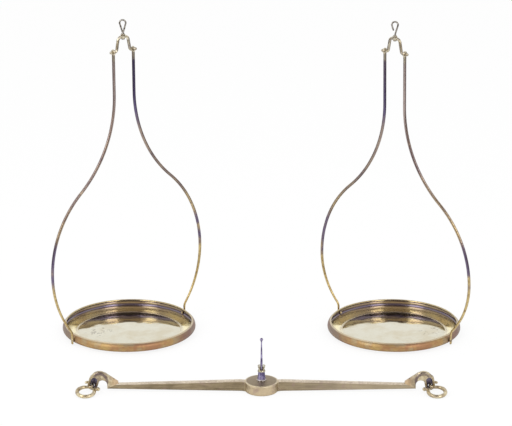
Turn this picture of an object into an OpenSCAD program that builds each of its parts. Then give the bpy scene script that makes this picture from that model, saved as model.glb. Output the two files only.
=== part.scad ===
// Brass beam balance, taken off its pillar and laid out: the beam lies level in front,
// and two pans stand behind it with their wire hangers upright.
// Millimetres, +Z up, X along the beam, +Y away from the viewer.

/* [Layout] */
// Distance between the centres of the two pans
pan_spacing = 385; // [340:1:460]
// Distance from the pans' centre line forward to the beam
beam_forward = 230; // [190:1:320]
// Turn of each hanger on its pan, with its outer wire towards the front
set_turn = 37; // [20:1:50]
// Backward lean of the left hanger, in degrees
left_lean = 0.4; // [-3:0.1:3]
// Backward lean of the right hanger, in degrees
right_lean = -1.3; // [-3:0.1:3]

/* [Pan] */
// Largest outside diameter of a pan
pan_d = 193; // [150:1:230]
// Diameter of the pan's mouth
pan_mouth_d = 184; // [140:1:188]
// Diameter of the flat floor of the pan
pan_floor_d = 152; // [110:1:164]
// Height of the pan's widest ring above its foot
pan_belly_z = 8; // [6:0.5:12]
// Height of the pan's mouth above its widest ring
pan_lip_h = 7.5; // [6:0.5:12]
// Thickness of the spun brass wall
pan_wall = 1.3; // [1:0.1:2]
// Thickness of the rolled edge of the pan
rim_bead_d = 2; // [1.6:0.1:3]

/* [Hanger wires] */
// Thickness of the hanger wire
wire_d = 3.2; // [2.4:0.1:4]
// Distance between the two wires under the yoke
wire_gap = 33.6; // [30:0.2:42]
// Greatest distance between the two wires
hoop_w = 256; // [236:1:290]
// Height of the yoke's neck above the floor
neck_z = 419.3; // [400:0.1:460]
// Height where the left wires start to flare
left_flare_z = 358; // [330:1:370]
// Height where the left wires are widest
left_wide_z = 109; // [90:1:125]
// Height where the right wires start to flare
right_flare_z = 342; // [330:1:370]
// Height where the right wires are widest
right_wide_z = 96; // [90:1:125]
// Share of the flare that bends outward, the rest bends back in
flare_share = 0.54; // [0.4:0.01:0.65]
// Bend radius where a wire turns down beside the pan
foot_bend_r = 12; // [8:1:16]
// Thickness of the flattened end of a wire
tail_t = 1.7; // [1.4:0.1:2]
// Width of the flattened end at its rivet
tail_w = 5.8; // [5:0.1:6.6]
// Gap between the pan and a flattened end
tail_gap = 0.3; // [0.2:0.05:0.5]

/* [Rivets] */
// Diameter of a rivet
rivet_d = 3; // [2.4:0.1:3.4]
// Diameter of a rivet's outer head
rivet_head_d = 5.6; // [4.8:0.1:6.6]
// Diameter of a rivet's head inside the pan
rivet_inner_d = 4.4; // [4:0.1:5]
// Height of a rivet's heads
rivet_head_h = 1.5; // [1.2:0.1:2]
// Gap under a rivet's outer head
rivet_gap = 0.15; // [0.1:0.05:0.3]

/* [Yoke] */
// Height from the yoke's neck to the middle of its bridge
yoke_h = 20.4; // [17:0.1:26]
// Thickness of the yoke's round bar
yoke_t = 4.2; // [3.4:0.1:5]
// Bend radius of the yoke's shoulders
shoulder_r = 5.6; // [4.4:0.1:6.6]
// Bend radius of the yoke's feet
yoke_foot_r = 3.6; // [2.8:0.1:4.4]
// Outward splay of the yoke's legs, in degrees
leg_splay = 10; // [4:1:16]
// Diameter of the neck that the wire turns on
neck_d = 3; // [2.4:0.1:3.4]
// Diameter of the ball on the end of a neck
knob_d = 4.4; // [4:0.1:5.4]
// Diameter of the round boss in the middle of the bridge
yoke_boss_d = 6.4; // [5.4:0.1:8]
// Height of that boss above the bridge
yoke_boss_h = 1.8; // [1.2:0.1:4]

/* [Top eye] */
// Thickness of the top eye's wire
eye_wire_d = 2.4; // [2:0.1:2.8]
// Width of the top eye's bend, measured at the middle of its wire
eye_bend_w = 8.6; // [7.6:0.1:11]
// Height of the top eye above its flange
eye_h = 20.4; // [17:0.1:26]
// Diameter of the flange under the eye
flange_d = 4.4; // [4:0.1:6]
// Thickness of the flange
flange_t = 0.8; // [0.6:0.1:1.4]
// Diameter of the shank that turns in the yoke
shank_d = 2.6; // [2:0.1:3]
// Thickness of the button riveted under the yoke
button_t = 1.3; // [1:0.1:2]
// Diameter of that button
button_d = 5; // [4.2:0.1:6.4]
// Turn of the left top eye
left_eye_turn = -37; // [-90:1:90]
// Turn of the right top eye
right_eye_turn = 37; // [-90:1:90]
// Share of the eye's returning side that is closed, left
left_eye_close = 0.9; // [0.3:0.05:0.9]
// Share of the eye's returning side that is closed, right
right_eye_close = 0.45; // [0.3:0.05:0.9]

/* [Beam] */
// Distance from the beam's centre to the tip of an arm
arm_l = 210.5; // [180:0.5:250]
// Clearance of the arms above the floor beside the boss
arm_lift = 0.4; // [0.3:0.1:1]
// Rise of the arms' lower edge towards the tip
arm_rise = 3; // [1:0.1:4]
// Height of an arm beside the boss
arm_root_h = 15.5; // [13:0.1:18]
// Height of an arm where the neck's scarf begins
arm_end_h = 7.8; // [6.4:0.1:9]
// Thickness of an arm beside the boss
arm_root_t = 6.6; // [5.6:0.1:8]
// Thickness of an arm at its tip
arm_end_t = 4.8; // [4:0.1:5.4]
// Length of the slope on which the neck is seated
scarf_l = 15; // [12:0.5:20]
// Diameter of the round boss
boss_d = 46; // [40:0.5:54]
// Height of the boss at its edge
boss_h = 14.4; // [13:0.1:17]
// Rise of the boss's crown above its edge
boss_crown = 1.3; // [0.8:0.1:2.4]
// Diameter of the socket under the boss
socket_d = 30; // [26:0.5:34]
// Depth of that socket
socket_depth = 9; // [7:0.1:9.4]

/* [Fulcrum knife] */
// Thickness of the knife
knife_t = 6; // [4:0.1:7]
// Length of the knife, let into the boss at both ends
knife_l = 36; // [35:0.5:38]
// Height of the knife's edge above the floor
knife_edge_z = 1.4; // [1:0.1:3]

/* [Pointer] */
// Diameter of the pointer's foot on the boss
foot_d = 13; // [11:0.1:16]
// Diameter at the top of the foot
foot_top_d = 9.4; // [8:0.1:10]
// Height of the foot
foot_h = 12.5; // [10:0.1:16]
// Diameter of the collar's ends
collar_d = 10.6; // [10:0.1:13]
// Diameter of the collar's waist
collar_waist_d = 8.2; // [7.4:0.1:9.2]
// Height of the collar
collar_h = 8.4; // [7:0.1:11]
// Width of the slot across the collar
collar_slot_w = 4; // [3.4:0.1:4.6]
// Diameter of the pin through the collar
needle_pin_d = 1.2; // [1:0.1:1.6]
// Diameter of the needle where it leaves the collar
needle_root_d = 3.7; // [3:0.1:3.9]
// Diameter of the needle under its ball
needle_tip_d = 1.3; // [1:0.1:2]
// Length of the needle above the foot, to the middle of the ball
needle_l = 46.2; // [36:0.1:60]
// Diameter of the ball on the needle
needle_ball_d = 4.4; // [3.4:0.1:5.4]

/* [Swan neck] */
// Outside radius of the neck's arch
arch_r = 13; // [12:0.1:15]
// Distance of the arch's centre beyond the tip of the arm
arch_out = 10.5; // [9:0.1:12]
// Height of the arch's centre above the floor
arch_z = 15; // [14:0.1:17]
// Radius of the opening under the arch
opening_r = 6.6; // [5.6:0.1:7]
// Depth of the neck, from front to back
neck_depth = 6.6; // [6:0.1:7.2]
// Size of the chamfer on the neck's edges
neck_chamfer = 1.5; // [0.8:0.1:1.8]
// Step from the arm up to the neck's strap
strap_step = 2; // [1:0.1:3]
// Width of the oval end of the neck
oval_w = 14; // [13.4:0.1:15]
// Length of the oval end of the neck
oval_l = 21.6; // [21:0.1:24]
// Height of the oval's middle above the floor
oval_z = 12.4; // [12.2:0.1:15]
// Outward tilt of the left oval, in degrees
left_tilt = 18; // [6:1:22]
// Outward tilt of the right oval, in degrees
right_tilt = 10; // [6:1:22]
// Width of the window in the oval end
window_w = 8.6; // [8.4:0.1:9.2]
// Length of that window
window_l = 15; // [14.4:0.1:16]
// Diameter of the rivet through the scarf
neck_rivet_d = 2.2; // [1.6:0.1:2.6]

/* [End plate] */
// Thickness of the steel plate in the window
plate_t = 3; // [2:0.1:3.4]
// Diameter of the bore that the hook hangs in
plate_bore_d = 5.4; // [5.2:0.1:6]
// Distance of that bore below the middle of the plate
bore_drop = 4; // [3:0.1:4.2]

/* [Hook] */
// Thickness of the hook's wire
hook_d = 4.4; // [3.8:0.1:4.8]
// Thickness of the hook's small loop
loop_d = 3.8; // [3.4:0.1:3.9]
// Radius of the big ring, at the middle of its wire
ring_r = 11.7; // [10.5:0.1:14]
// Radius of the small loop, at the middle of its wire
loop_r = 6.2; // [6:0.1:6.8]
// Bearing of the big ring from the small loop, in degrees
ring_bearing = 83; // [78:1:90]
// Radius of the curl at the ring's open end
curl_r = 4; // [3.4:0.1:4.6]
// Diameter of the ball on the curl
hook_ball_d = 5.4; // [4.8:0.1:6]

/* [Fits] */
// Radial clearance of a turning fit
run_gap = 0.05; // [0.03:0.01:0.09]
// Radial clearance of a seated fit
seat_gap = 0.02; // [0.01:0.01:0.04]

/* [Hidden] */
$fn = 48;

brass = "#b9a058";
old_brass = "#8f8360";
dark_brass = "#6f6247";
steel = "#3d3a57";

// Two bent pieces of bar stop this far short of their shared point, inside a bead
// that stands this much proud of them, so that each joint is one clean solid.
joint_back = 0.1;
joint_proud = 0.04;
// How far one piece of a node runs into the next.
lap = 0.2;

// Swan neck, written for the right end of the beam.
arm_slope = arm_rise / (arm_l - boss_d / 2);
scarf_x = arm_l - scarf_l;
scarf_top_z = arm_lift + arm_rise - arm_slope * scarf_l + arm_end_h;
tip_low_z = arm_lift + arm_rise;
tip_h = 0.8;
arch_x = arm_l + arch_out;
opening_x = arm_l + opening_r;
opening_z = arch_z - 6;
oval_x = arch_x + 8.3;
neck_rivet_x = scarf_x + scarf_l * 0.42;

// The hook slopes down from its bore to the floor in front.
ring_c = [
    loop_r + (loop_r + ring_r) * cos(ring_bearing), (loop_r + ring_r) * sin(ring_bearing)
];
hook_front = ring_c[1] + ring_r;
hook_floor_gap = 0.1;
function tilt(side) = side < 0 ? left_tilt : right_tilt;
function bore_x(side) = oval_x + bore_drop * sin(tilt(side));
function bore_z(side) = oval_z - bore_drop * cos(tilt(side));
function hook_slope(side) = asin((bore_z(side) - hook_d / 2 - hook_floor_gap) / hook_front);
function hook_reach(side) = hook_front * cos(hook_slope(side)) + hook_d / 2;

// Plan: the pans reach as far behind the origin as the hooks reach before it.
pan_r = pan_d / 2;
pan_x = pan_spacing / 2;
beam_y = (max(hook_reach(-1), hook_reach(1)) - beam_forward - pan_r) / 2;
pan_y = beam_y + beam_forward;

// Pan wall and rivets.
floor_r = pan_floor_d / 2;
lip_inset = (pan_d - pan_mouth_d) / 2;
lip_r = (lip_inset * lip_inset + pan_lip_h * pan_lip_h) / (2 * lip_inset);
lip_a = asin(pan_lip_h / lip_r);
rivet_z = pan_belly_z;
seat_share = sqrt(1 - pow(rivet_inner_d / 2 / (pan_belly_z - pan_wall), 2));
rivet_in_x = floor_r + (pan_r - pan_wall - floor_r) * seat_share - 0.12;
tail_x = pan_r + tail_gap;
rivet_out_x = tail_x + tail_t + rivet_gap;
foot_x = tail_x + wire_d / 2;
foot_z = rivet_z + 8;

// Yoke and eyes.
eye_x = wire_gap / 2;
eye_tube_r = wire_d / 2 - 0.1;
eye_bore_r = neck_d / 2 + run_gap;
eye_ring_r = eye_bore_r + eye_tube_r - 0.05;
yoke_foot_x = eye_x - eye_tube_r - 0.9;
bridge_z = neck_z + yoke_h;
knob_x = eye_x + eye_tube_r + 0.6 + sqrt(knob_d * knob_d - neck_d * neck_d) / 2;
bends_r = shoulder_r + yoke_foot_r;
leg_l = (yoke_h - bends_r + bends_r * sin(leg_splay)) / cos(leg_splay);
shoulder_x = yoke_foot_x - bends_r * cos(leg_splay) - leg_l * sin(leg_splay);
boss_top_z = bridge_z + yoke_t / 2 + yoke_boss_h;
yoke_low_z = bridge_z - yoke_t / 2 - 0.2;
end_play = 0.12;
button_low_z = yoke_low_z - end_play - button_t;
peen_h = 0.4;
flange_z = boss_top_z + end_play;

// Beam and pointer.
boss_r = boss_d / 2;
boss_edge_r = 2.4;
crown_r = boss_r - boss_edge_r;
crown_z = boss_h + boss_crown;
stub_d = 5;
stub_l = 3.6;
spigot_h = 1.2;
collar_z = crown_z + foot_h;
pin_z = collar_z + collar_h * 0.62;

// A point of the XZ plane at bearing a and distance r from c.
function polar(c, r, a) = c + r * [cos(a), sin(a)];

// A list back to front.
function reversed(list) = [for (i = [len(list) - 1:-1:0]) list[i]];

// The angle taken by a length along an arc.
function turn_of(length, r) = length / r * 180 / PI;

// A round bar along an arc in the XZ plane, stopping short of both its end points.
module arc_bar(c, r, a0, a1, d) {
    back = turn_of(joint_back, r);
    translate([c[0], 0, c[1]]) rotate([90, 0, 0]) rotate([0, 0, a0 + back])
        rotate_extrude(angle = a1 - a0 - 2 * back, $fn = 144) translate([r, 0]) circle(d = d, $fn = 24);
}

// A straight round bar in the XZ plane from p to q, stopping short of both.
module line_bar(p, q, d, d_end) {
    run = q - p;
    translate([p[0], 0, p[1]]) rotate([0, atan2(run[0], run[1]), 0])
        translate([0, 0, joint_back]) cylinder(h = norm(run) - 2 * joint_back, d1 = d, d2 = d_end);
}

// The bead that joins two bars of diameter d at point p of the XZ plane.
module joint_bead(p, d) {
    translate([p[0], 0, p[1]]) sphere(d = d + 2 * joint_proud, $fn = 24);
}

// A spherical cap of diameter d and height h that stands on the XY plane.
module dome(d, h) {
    ball_r = (d * d / 4 + h * h) / (2 * h);
    intersection() {
        translate([0, 0, h - ball_r]) sphere(r = ball_r);
        translate([-d, -d, 0]) cube([2 * d, 2 * d, h + 1]);
    }
}

// Turns a part of the left or right pan (side -1 or 1) into place.
module on_pan(side) {
    translate([side * pan_x, pan_y, 0]) rotate([0, 0, -side * set_turn]) children();
}

// Leans a part with its hanger about the line through the rivets.
module on_hanger(side) {
    lean = side < 0 ? left_lean : right_lean;
    on_pan(side) translate([0, 0, rivet_z]) rotate([-lean, 0, 0])
        translate([0, 0, -rivet_z]) children();
}

// Mirrors a part made for the +X end to the -X end when end is -1.
module at_end(end) {
    if (end < 0) mirror([1, 0, 0]) children();
    else children();
}

// The pan's lower curve is a quarter ellipse and its lip is an arc, both moved in by t.
function pan_curve(t) = let (steps = 12) concat(
    [for (i = [0:steps]) let (a = 90 * i / steps)
        [floor_r + (pan_r - floor_r - t) * sin(a), pan_belly_z - (pan_belly_z - t) * cos(a)]],
    [for (i = [1:steps]) let (a = lip_a * i / steps)
        [pan_r - lip_r + (lip_r - t) * cos(a), pan_belly_z + (lip_r - t) * sin(a)]]
);

module pan() {
    bead_c = polar([pan_r - lip_r, pan_belly_z], lip_r - pan_wall / 2, lip_a);
    difference() {
        union() {
            rotate_extrude($fn = 144) polygon(concat(
                [[0, 0]], pan_curve(0), reversed(pan_curve(pan_wall)), [[0, pan_wall]]
            ));
            rotate_extrude($fn = 144) translate(bead_c) circle(d = rim_bead_d, $fn = 20);
        }
        translate([-pan_r - 1, 0, rivet_z]) rotate([0, 90, 0])
            cylinder(h = 2 * pan_r + 2, d = rivet_d + 2 * seat_gap);
    }
}

// The rivet through the pan's wall on its +X side.
module pan_rivet() {
    translate([rivet_in_x - lap, 0, rivet_z]) rotate([0, 90, 0])
        cylinder(h = rivet_out_x - rivet_in_x + 2 * lap, d = rivet_d);
    translate([rivet_in_x, 0, rivet_z]) rotate([0, -90, 0]) dome(rivet_inner_d, rivet_head_h);
    translate([rivet_out_x, 0, rivet_z]) rotate([0, 90, 0]) dome(rivet_head_d, rivet_head_h);
}

// The wire on the +X side, from its eye on the yoke down to its flattened foot.
module hanger_wire(flare_z, wide_z) {
    half_w = hoop_w / 2;
    flare_run = half_w - eye_x;
    flare_drop = flare_z - wide_z;
    flare_r = (flare_run * flare_run + flare_drop * flare_drop) / (2 * flare_run);
    flare_a = asin(flare_drop / flare_r);
    out_r = flare_r * flare_share;
    in_r = flare_r - out_r;
    hoop_a = 2 * atan((half_w - foot_x) / (wide_z - foot_z));
    hoop_r = (wide_z - foot_z) / sin(hoop_a) - foot_bend_r;
    out_c = [eye_x + out_r, flare_z];
    in_c = [half_w - in_r, wide_z];
    hoop_c = [half_w - hoop_r, wide_z];

    wire_eye(flare_z);
    joint_bead([eye_x, flare_z], wire_d);
    arc_bar(out_c, out_r, 180, 180 + flare_a, wire_d);
    joint_bead(polar(in_c, in_r, flare_a), wire_d);
    arc_bar(in_c, in_r, 0, flare_a, wire_d);
    joint_bead([half_w, wide_z], wire_d);
    arc_bar(hoop_c, hoop_r, -hoop_a, 0, wire_d);
    joint_bead(polar(hoop_c, hoop_r, -hoop_a), wire_d);
    arc_bar([foot_x + foot_bend_r, foot_z], foot_bend_r, 180 - hoop_a, 180, wire_d);
    joint_bead([foot_x, foot_z], wire_d);
    wire_tail();
}

// The round eye at the wire's top, with the straight stem below it.
module wire_eye(flare_z) {
    difference() {
        union() {
            translate([eye_x, 0, neck_z]) rotate([0, 90, 0])
                rotate_extrude() translate([eye_ring_r, 0]) circle(r = eye_tube_r);
            line_bar([eye_x, flare_z], [eye_x, neck_z - eye_ring_r], wire_d, wire_d);
        }
        translate([eye_x - wire_d, 0, neck_z]) rotate([0, 90, 0])
            cylinder(h = 2 * wire_d, r = eye_bore_r);
    }
}

// The wire's foot, drawn down to a flat blade with a hole for the rivet.
module wire_tail() {
    difference() {
        union() {
            line_bar([foot_x, foot_z], [tail_x + tail_t / 2, foot_z - 4.5], wire_d, tail_t);
            translate([tail_x, 0, 0]) rotate([90, 0, 90]) linear_extrude(tail_t) tail_outline();
        }
        translate([tail_x - 1, 0, rivet_z]) rotate([0, 90, 0])
            cylinder(h = tail_t + 2, d = rivet_d + 2 * run_gap);
    }
}

// The blade seen along X: narrow above, round at the rivet, rounded at its tip.
module tail_outline() {
    tip_r = tail_w * 0.4;
    tip_z = 2 + tip_r;
    top_w = wire_d * 0.8;
    translate([0, rivet_z]) circle(d = tail_w);
    translate([0, tip_z]) circle(r = tip_r);
    polygon([
        [-tail_w / 2 + lap / 4, rivet_z], [-tip_r + lap / 4, tip_z],
        [tip_r - lap / 4, tip_z], [tail_w / 2 - lap / 4, rivet_z],
        [top_w / 2, foot_z - 1], [-top_w / 2, foot_z - 1]
    ]);
}

// Half of the yoke, from the middle of its bridge to the ball on its neck.
module yoke_half() {
    shoulder_c = [shoulder_x, bridge_z - shoulder_r];
    foot_c = [yoke_foot_x, neck_z + yoke_foot_r];
    line_bar([-lap, bridge_z], [shoulder_x, bridge_z], yoke_t, yoke_t);
    joint_bead([shoulder_x, bridge_z], yoke_t);
    arc_bar(shoulder_c, shoulder_r, leg_splay, 90, yoke_t);
    joint_bead(polar(shoulder_c, shoulder_r, leg_splay), yoke_t);
    line_bar(
        polar(foot_c, yoke_foot_r, 180 + leg_splay), polar(shoulder_c, shoulder_r, leg_splay),
        yoke_t, yoke_t
    );
    joint_bead(polar(foot_c, yoke_foot_r, 180 + leg_splay), yoke_t);
    arc_bar(foot_c, yoke_foot_r, 180 + leg_splay, 270, yoke_t);
    translate([yoke_foot_x - lap, 0, neck_z]) rotate([0, 90, 0])
        cylinder(h = knob_x - yoke_foot_x + lap, d = neck_d);
    translate([knob_x, 0, neck_z]) sphere(d = knob_d);
}

module yoke() {
    difference() {
        union() {
            for (end = [-1, 1]) at_end(end) yoke_half();
            translate([0, 0, yoke_low_z]) cylinder(h = boss_top_z - yoke_low_z, d = yoke_boss_d);
        }
        translate([0, 0, yoke_low_z - 1])
            cylinder(h = boss_top_z - yoke_low_z + 2, d = shank_d + 2 * run_gap);
    }
}

// The teardrop eye over the yoke; share is how much of its returning side is there.
module top_eye(share) {
    bend_r = eye_bend_w / 2;
    root = [0, flange_z + flange_t];
    bend_c = [0, root[1] + eye_h - bend_r - eye_wire_d / 2];
    side_a = asin(bend_r / (bend_c[1] - root[1]));
    right_end = polar(bend_c, bend_r, -side_a);
    left_end = polar(bend_c, bend_r, 180 + side_a);
    left_stop = left_end + share * (root - left_end);
    arc_bar(bend_c, bend_r, -side_a, 180 + side_a, eye_wire_d);
    joint_bead(right_end, eye_wire_d);
    line_bar(root, right_end, eye_wire_d, eye_wire_d);
    joint_bead(left_end, eye_wire_d);
    line_bar(left_stop, left_end, eye_wire_d, eye_wire_d);
    joint_bead(left_stop, eye_wire_d);
    translate([0, 0, root[1]]) sphere(d = eye_wire_d + lap);
    translate([0, 0, flange_z]) cylinder(h = flange_t, d = flange_d);
    translate([0, 0, button_low_z - peen_h])
        cylinder(h = flange_z - button_low_z + peen_h + lap, d = shank_d);
}

module eye_button() {
    translate([0, 0, button_low_z]) difference() {
        cylinder(h = button_t, d = button_d);
        translate([0, 0, -1]) cylinder(h = button_t + 2, d = shank_d + 2 * seat_gap);
    }
}

// An arm seen from the front, with the slope for the neck's scarf at its tip.
module arm_side() {
    polygon([
        [boss_r - 4, arm_lift], [arm_l, tip_low_z], [arm_l, tip_low_z + tip_h],
        [scarf_x, scarf_top_z], [boss_r - 4, arm_lift + arm_root_h]
    ]);
}

// An arm seen from above.
module arm_plan() {
    polygon([
        [boss_r - 5, -arm_root_t / 2], [arm_l + 1, -arm_end_t / 2],
        [arm_l + 1, arm_end_t / 2], [boss_r - 5, arm_root_t / 2]
    ]);
}

module arm() {
    fillet = 5;
    intersection() {
        translate([0, arm_root_t, 0]) rotate([90, 0, 0]) linear_extrude(2 * arm_root_t) arm_side();
        linear_extrude(arm_lift + arm_root_h + 1) arm_plan();
    }
    difference() {
        translate([boss_r - 3, -arm_root_t / 2 - fillet * 0.6, arm_lift])
            cube([3 + fillet * 0.6, arm_root_t + fillet * 1.2, arm_root_h - 1.6]);
        for (s = [-1, 1])
            translate([boss_r + fillet * 0.9, s * (arm_root_t / 2 + fillet * 0.9 - 0.05), -1])
                cylinder(h = arm_root_h + 2, r = fillet * 0.9);
    }
}

// The boss in section, with a rounded lower edge, a rounded brow and a low crown.
module boss_section() {
    brow_r = 1.2;
    steps = 6;
    polygon(concat(
        [[socket_d / 2, 0], [boss_r - boss_edge_r, 0]],
        [for (i = [1:steps]) let (a = 90 * i / steps)
            [boss_r - boss_edge_r + boss_edge_r * sin(a), boss_edge_r - boss_edge_r * cos(a)]],
        [for (i = [0:steps]) let (a = 90 * i / steps)
            [boss_r - brow_r + brow_r * cos(a), boss_h - brow_r + brow_r * sin(a)]],
        [for (i = [0:steps]) let (r = crown_r * (1 - i / steps))
            [r, boss_h + boss_crown * (1 - pow(r / crown_r, 2))]],
        [[0, socket_depth], [socket_d / 2, socket_depth]]
    ));
}

module beam() {
    color(old_brass) translate([0, beam_y, 0]) difference() {
        union() {
            rotate_extrude($fn = 96) boss_section();
            for (end = [-1, 1]) at_end(end) arm();
        }
        cylinder(h = socket_depth, d = socket_d - lap);
        translate([-knife_t / 2 - seat_gap, -knife_l / 2 - seat_gap, -1])
            cube([knife_t + 2 * seat_gap, knife_l + 2 * seat_gap, socket_depth + 1]);
        translate([0, 0, crown_z - stub_l - 0.1])
            cylinder(h = stub_l + 1, d = stub_d + 2 * seat_gap);
        for (end = [-1, 1]) translate([end * neck_rivet_x, 0, -1])
            cylinder(h = arch_z, d = neck_rivet_d + 2 * seat_gap);
    }
}

// The steel knife in the socket; its lower edge bears on the pillar.
module fulcrum_knife() {
    shoulder_z = socket_depth - 3;
    color(steel) translate([0, beam_y + knife_l / 2, 0]) rotate([90, 0, 0])
        linear_extrude(knife_l) polygon([
            [0, knife_edge_z], [knife_t / 2, shoulder_z], [knife_t / 2, socket_depth],
            [-knife_t / 2, socket_depth], [-knife_t / 2, shoulder_z]
        ]);
}

// The flared foot of the pointer, with a stub in the boss and a spigot for the collar.
module needle_foot() {
    steps = 8;
    base_h = 0.8;
    base_step = 0.5;
    flare = (foot_d - foot_top_d) / 2 - base_step;
    color(steel) translate([0, beam_y, crown_z]) {
        rotate_extrude() polygon(concat(
            [[0, 0], [foot_d / 2, 0], [foot_d / 2, base_h]],
            [for (i = [0:steps]) let (t = i / steps)
                [foot_d / 2 - base_step - flare * sin(90 * t), base_h + (foot_h - base_h) * t]],
            [[0, foot_h]]
        ));
        translate([0, 0, -stub_l]) cylinder(h = stub_l + lap, d = stub_d);
        translate([0, 0, foot_h - lap]) cylinder(h = spigot_h + lap, d = stub_d);
    }
}

// The waisted collar, slotted across its top for the root of the needle.
module needle_collar() {
    steps = 10;
    slot_floor = spigot_h * 2;
    color(brass) translate([0, beam_y, collar_z]) difference() {
        rotate_extrude() polygon(concat(
            [[0, 0]],
            [for (i = [0:steps]) let (t = i / steps)
                [collar_waist_d / 2 + (collar_d - collar_waist_d) / 2 * pow(cos(180 * t), 2),
                 collar_h * t]],
            [[0, collar_h]]
        ));
        translate([0, 0, -1]) cylinder(h = spigot_h + 1.1, d = stub_d + 2 * seat_gap);
        translate([-collar_slot_w / 2, -collar_d, slot_floor])
            cube([collar_slot_w, 2 * collar_d, collar_h]);
        translate([-collar_d, 0, pin_z - collar_z]) rotate([0, 90, 0])
            cylinder(h = 2 * collar_d, d = needle_pin_d + 2 * seat_gap);
    }
}

// The tapered needle with its ball; its root stands in the collar's slot.
module needle() {
    low_z = collar_z + spigot_h * 2 + 0.1;
    ball_z = collar_z + needle_l;
    ring_z = ball_z - needle_ball_d * 0.75;
    color(steel) translate([0, beam_y, 0]) difference() {
        union() {
            translate([0, 0, low_z])
                cylinder(h = ball_z - low_z, d1 = needle_root_d, d2 = needle_tip_d);
            translate([0, 0, ball_z]) sphere(d = needle_ball_d);
            translate([0, 0, ring_z]) cylinder(h = 0.9, d = needle_tip_d + 0.9);
        }
        translate([-collar_d, 0, pin_z]) rotate([0, 90, 0])
            cylinder(h = 2 * collar_d, d = needle_pin_d + 2 * seat_gap);
    }
}

module needle_pin() {
    inset = 0.6;
    color(brass) translate([-collar_d / 2 + inset, beam_y, pin_z]) rotate([0, 90, 0])
        cylinder(h = collar_d - 2 * inset, d = needle_pin_d);
}

// A round plate that stands in the XZ plane, with chamfered edges.
module chamfered_disc(r, depth, c) {
    rotate([90, 0, 0]) rotate_extrude() polygon([
        [0, -depth / 2], [r - c, -depth / 2], [r, -depth / 2 + c],
        [r, depth / 2 - c], [r - c, depth / 2], [0, depth / 2]
    ]);
}

// A slab with round ends that stands in the XZ plane, with chamfered edges.
module oval_slab(w, l, depth, c) {
    reach = (l - w) / 2;
    for (s = [-1, 1]) translate([0, 0, s * reach]) chamfered_disc(w / 2, depth, c);
    translate([0, 0, -reach]) linear_extrude(2 * reach) polygon([
        [-w / 2 + c, -depth / 2], [w / 2 - c, -depth / 2], [w / 2, -depth / 2 + c],
        [w / 2, depth / 2 - c], [w / 2 - c, depth / 2], [-w / 2 + c, depth / 2],
        [-w / 2, depth / 2 - c], [-w / 2, -depth / 2 + c]
    ]);
}

// A plain slab with round ends in the XZ plane.
module oval_block(w, l, depth) {
    reach = (l - w) / 2;
    rotate([90, 0, 0]) translate([0, 0, -depth / 2]) linear_extrude(depth) {
        for (s = [-1, 1]) translate([0, s * reach]) circle(d = w);
        square([w, 2 * reach], center = true);
    }
}

module tilted_oval(side) {
    translate([oval_x, 0, oval_z]) rotate([0, -tilt(side), 0]) children();
}

// The strap on the scarf and the arch over it, without the oval end.
module strap_and_arch() {
    strap_z = scarf_top_z + strap_step;
    reach = norm([arch_x - scarf_x, strap_z - arch_z]);
    touch_a = atan2(strap_z - arch_z, scarf_x - arch_x) - acos(arch_r / reach);
    touch = polar([arch_x, arch_z], arch_r, touch_a);
    difference() {
        union() {
            translate([arch_x, 0, arch_z]) chamfered_disc(arch_r, neck_depth, neck_chamfer);
            translate([0, neck_depth / 2 - 0.4, 0]) rotate([90, 0, 0])
                linear_extrude(neck_depth - 0.8) polygon([
                    [scarf_x, scarf_top_z + seat_gap], [arm_l, tip_low_z + tip_h + seat_gap],
                    [arch_x - 2, tip_low_z + tip_h], [arch_x, arch_z], touch, [scarf_x, strap_z]
                ]);
        }
        translate([opening_x, 0, opening_z]) rotate([90, 0, 0])
            cylinder(h = 2 * neck_depth, r = opening_r, center = true);
        for (s = [-1, 1]) translate([opening_x, s * (neck_depth / 2 - 0.9), opening_z])
            rotate([-s * 90, 0, 0]) cylinder(h = 2, r1 = opening_r, r2 = opening_r + 2);
        translate([arm_l, -neck_depth, -1]) cube([2 * arch_r, 2 * neck_depth, opening_z + 1]);
        translate([scarf_x, -neck_depth, -1]) cube([scarf_l, 2 * neck_depth, tip_low_z + 1]);
    }
}

// A swan neck: strap, arch and the oval end with its window.
module swan_neck(side) {
    difference() {
        union() {
            strap_and_arch();
            tilted_oval(side) oval_slab(oval_w, oval_l, neck_depth, neck_chamfer / 2);
        }
        tilted_oval(side) oval_block(window_w, window_l, 2 * neck_depth);
        translate([neck_rivet_x, 0, -1]) cylinder(h = 40, d = neck_rivet_d + 2 * seat_gap);
    }
}

// The steel plate that fills the window, with the bore for the hook.
module end_plate(side) {
    difference() {
        tilted_oval(side) oval_block(window_w - 2 * seat_gap, window_l - 2 * seat_gap, plate_t);
        translate([bore_x(side), -plate_t, bore_z(side)]) rotate([-90, 0, 0])
            cylinder(h = 2 * plate_t, d = plate_bore_d);
    }
}

// The rivet down through the strap and the scarfed arm.
module neck_rivet() {
    low_z = arm_lift + arm_slope * (neck_rivet_x - boss_r) + 0.3;
    top_z = scarf_top_z + strap_step + 4.6;
    translate([neck_rivet_x, 0, low_z]) cylinder(h = top_z - low_z, d = neck_rivet_d);
}

// A round bar along an arc in the hook's own plane.
module hook_arc(c, r, a0, a1, d) {
    back = turn_of(joint_back, r);
    translate([c[0], c[1], 0]) rotate([0, 0, a0 + back])
        rotate_extrude(angle = a1 - a0 - 2 * back) translate([r, 0]) circle(d = d, $fn = 32);
}

// A bead or ball on such an arc, with its poles along the bar.
module hook_bead(c, r, a, d) {
    translate(polar(c, r, a)) rotate([0, 0, a]) rotate([90, 0, 0]) sphere(d = d, $fn = 32);
}

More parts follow.
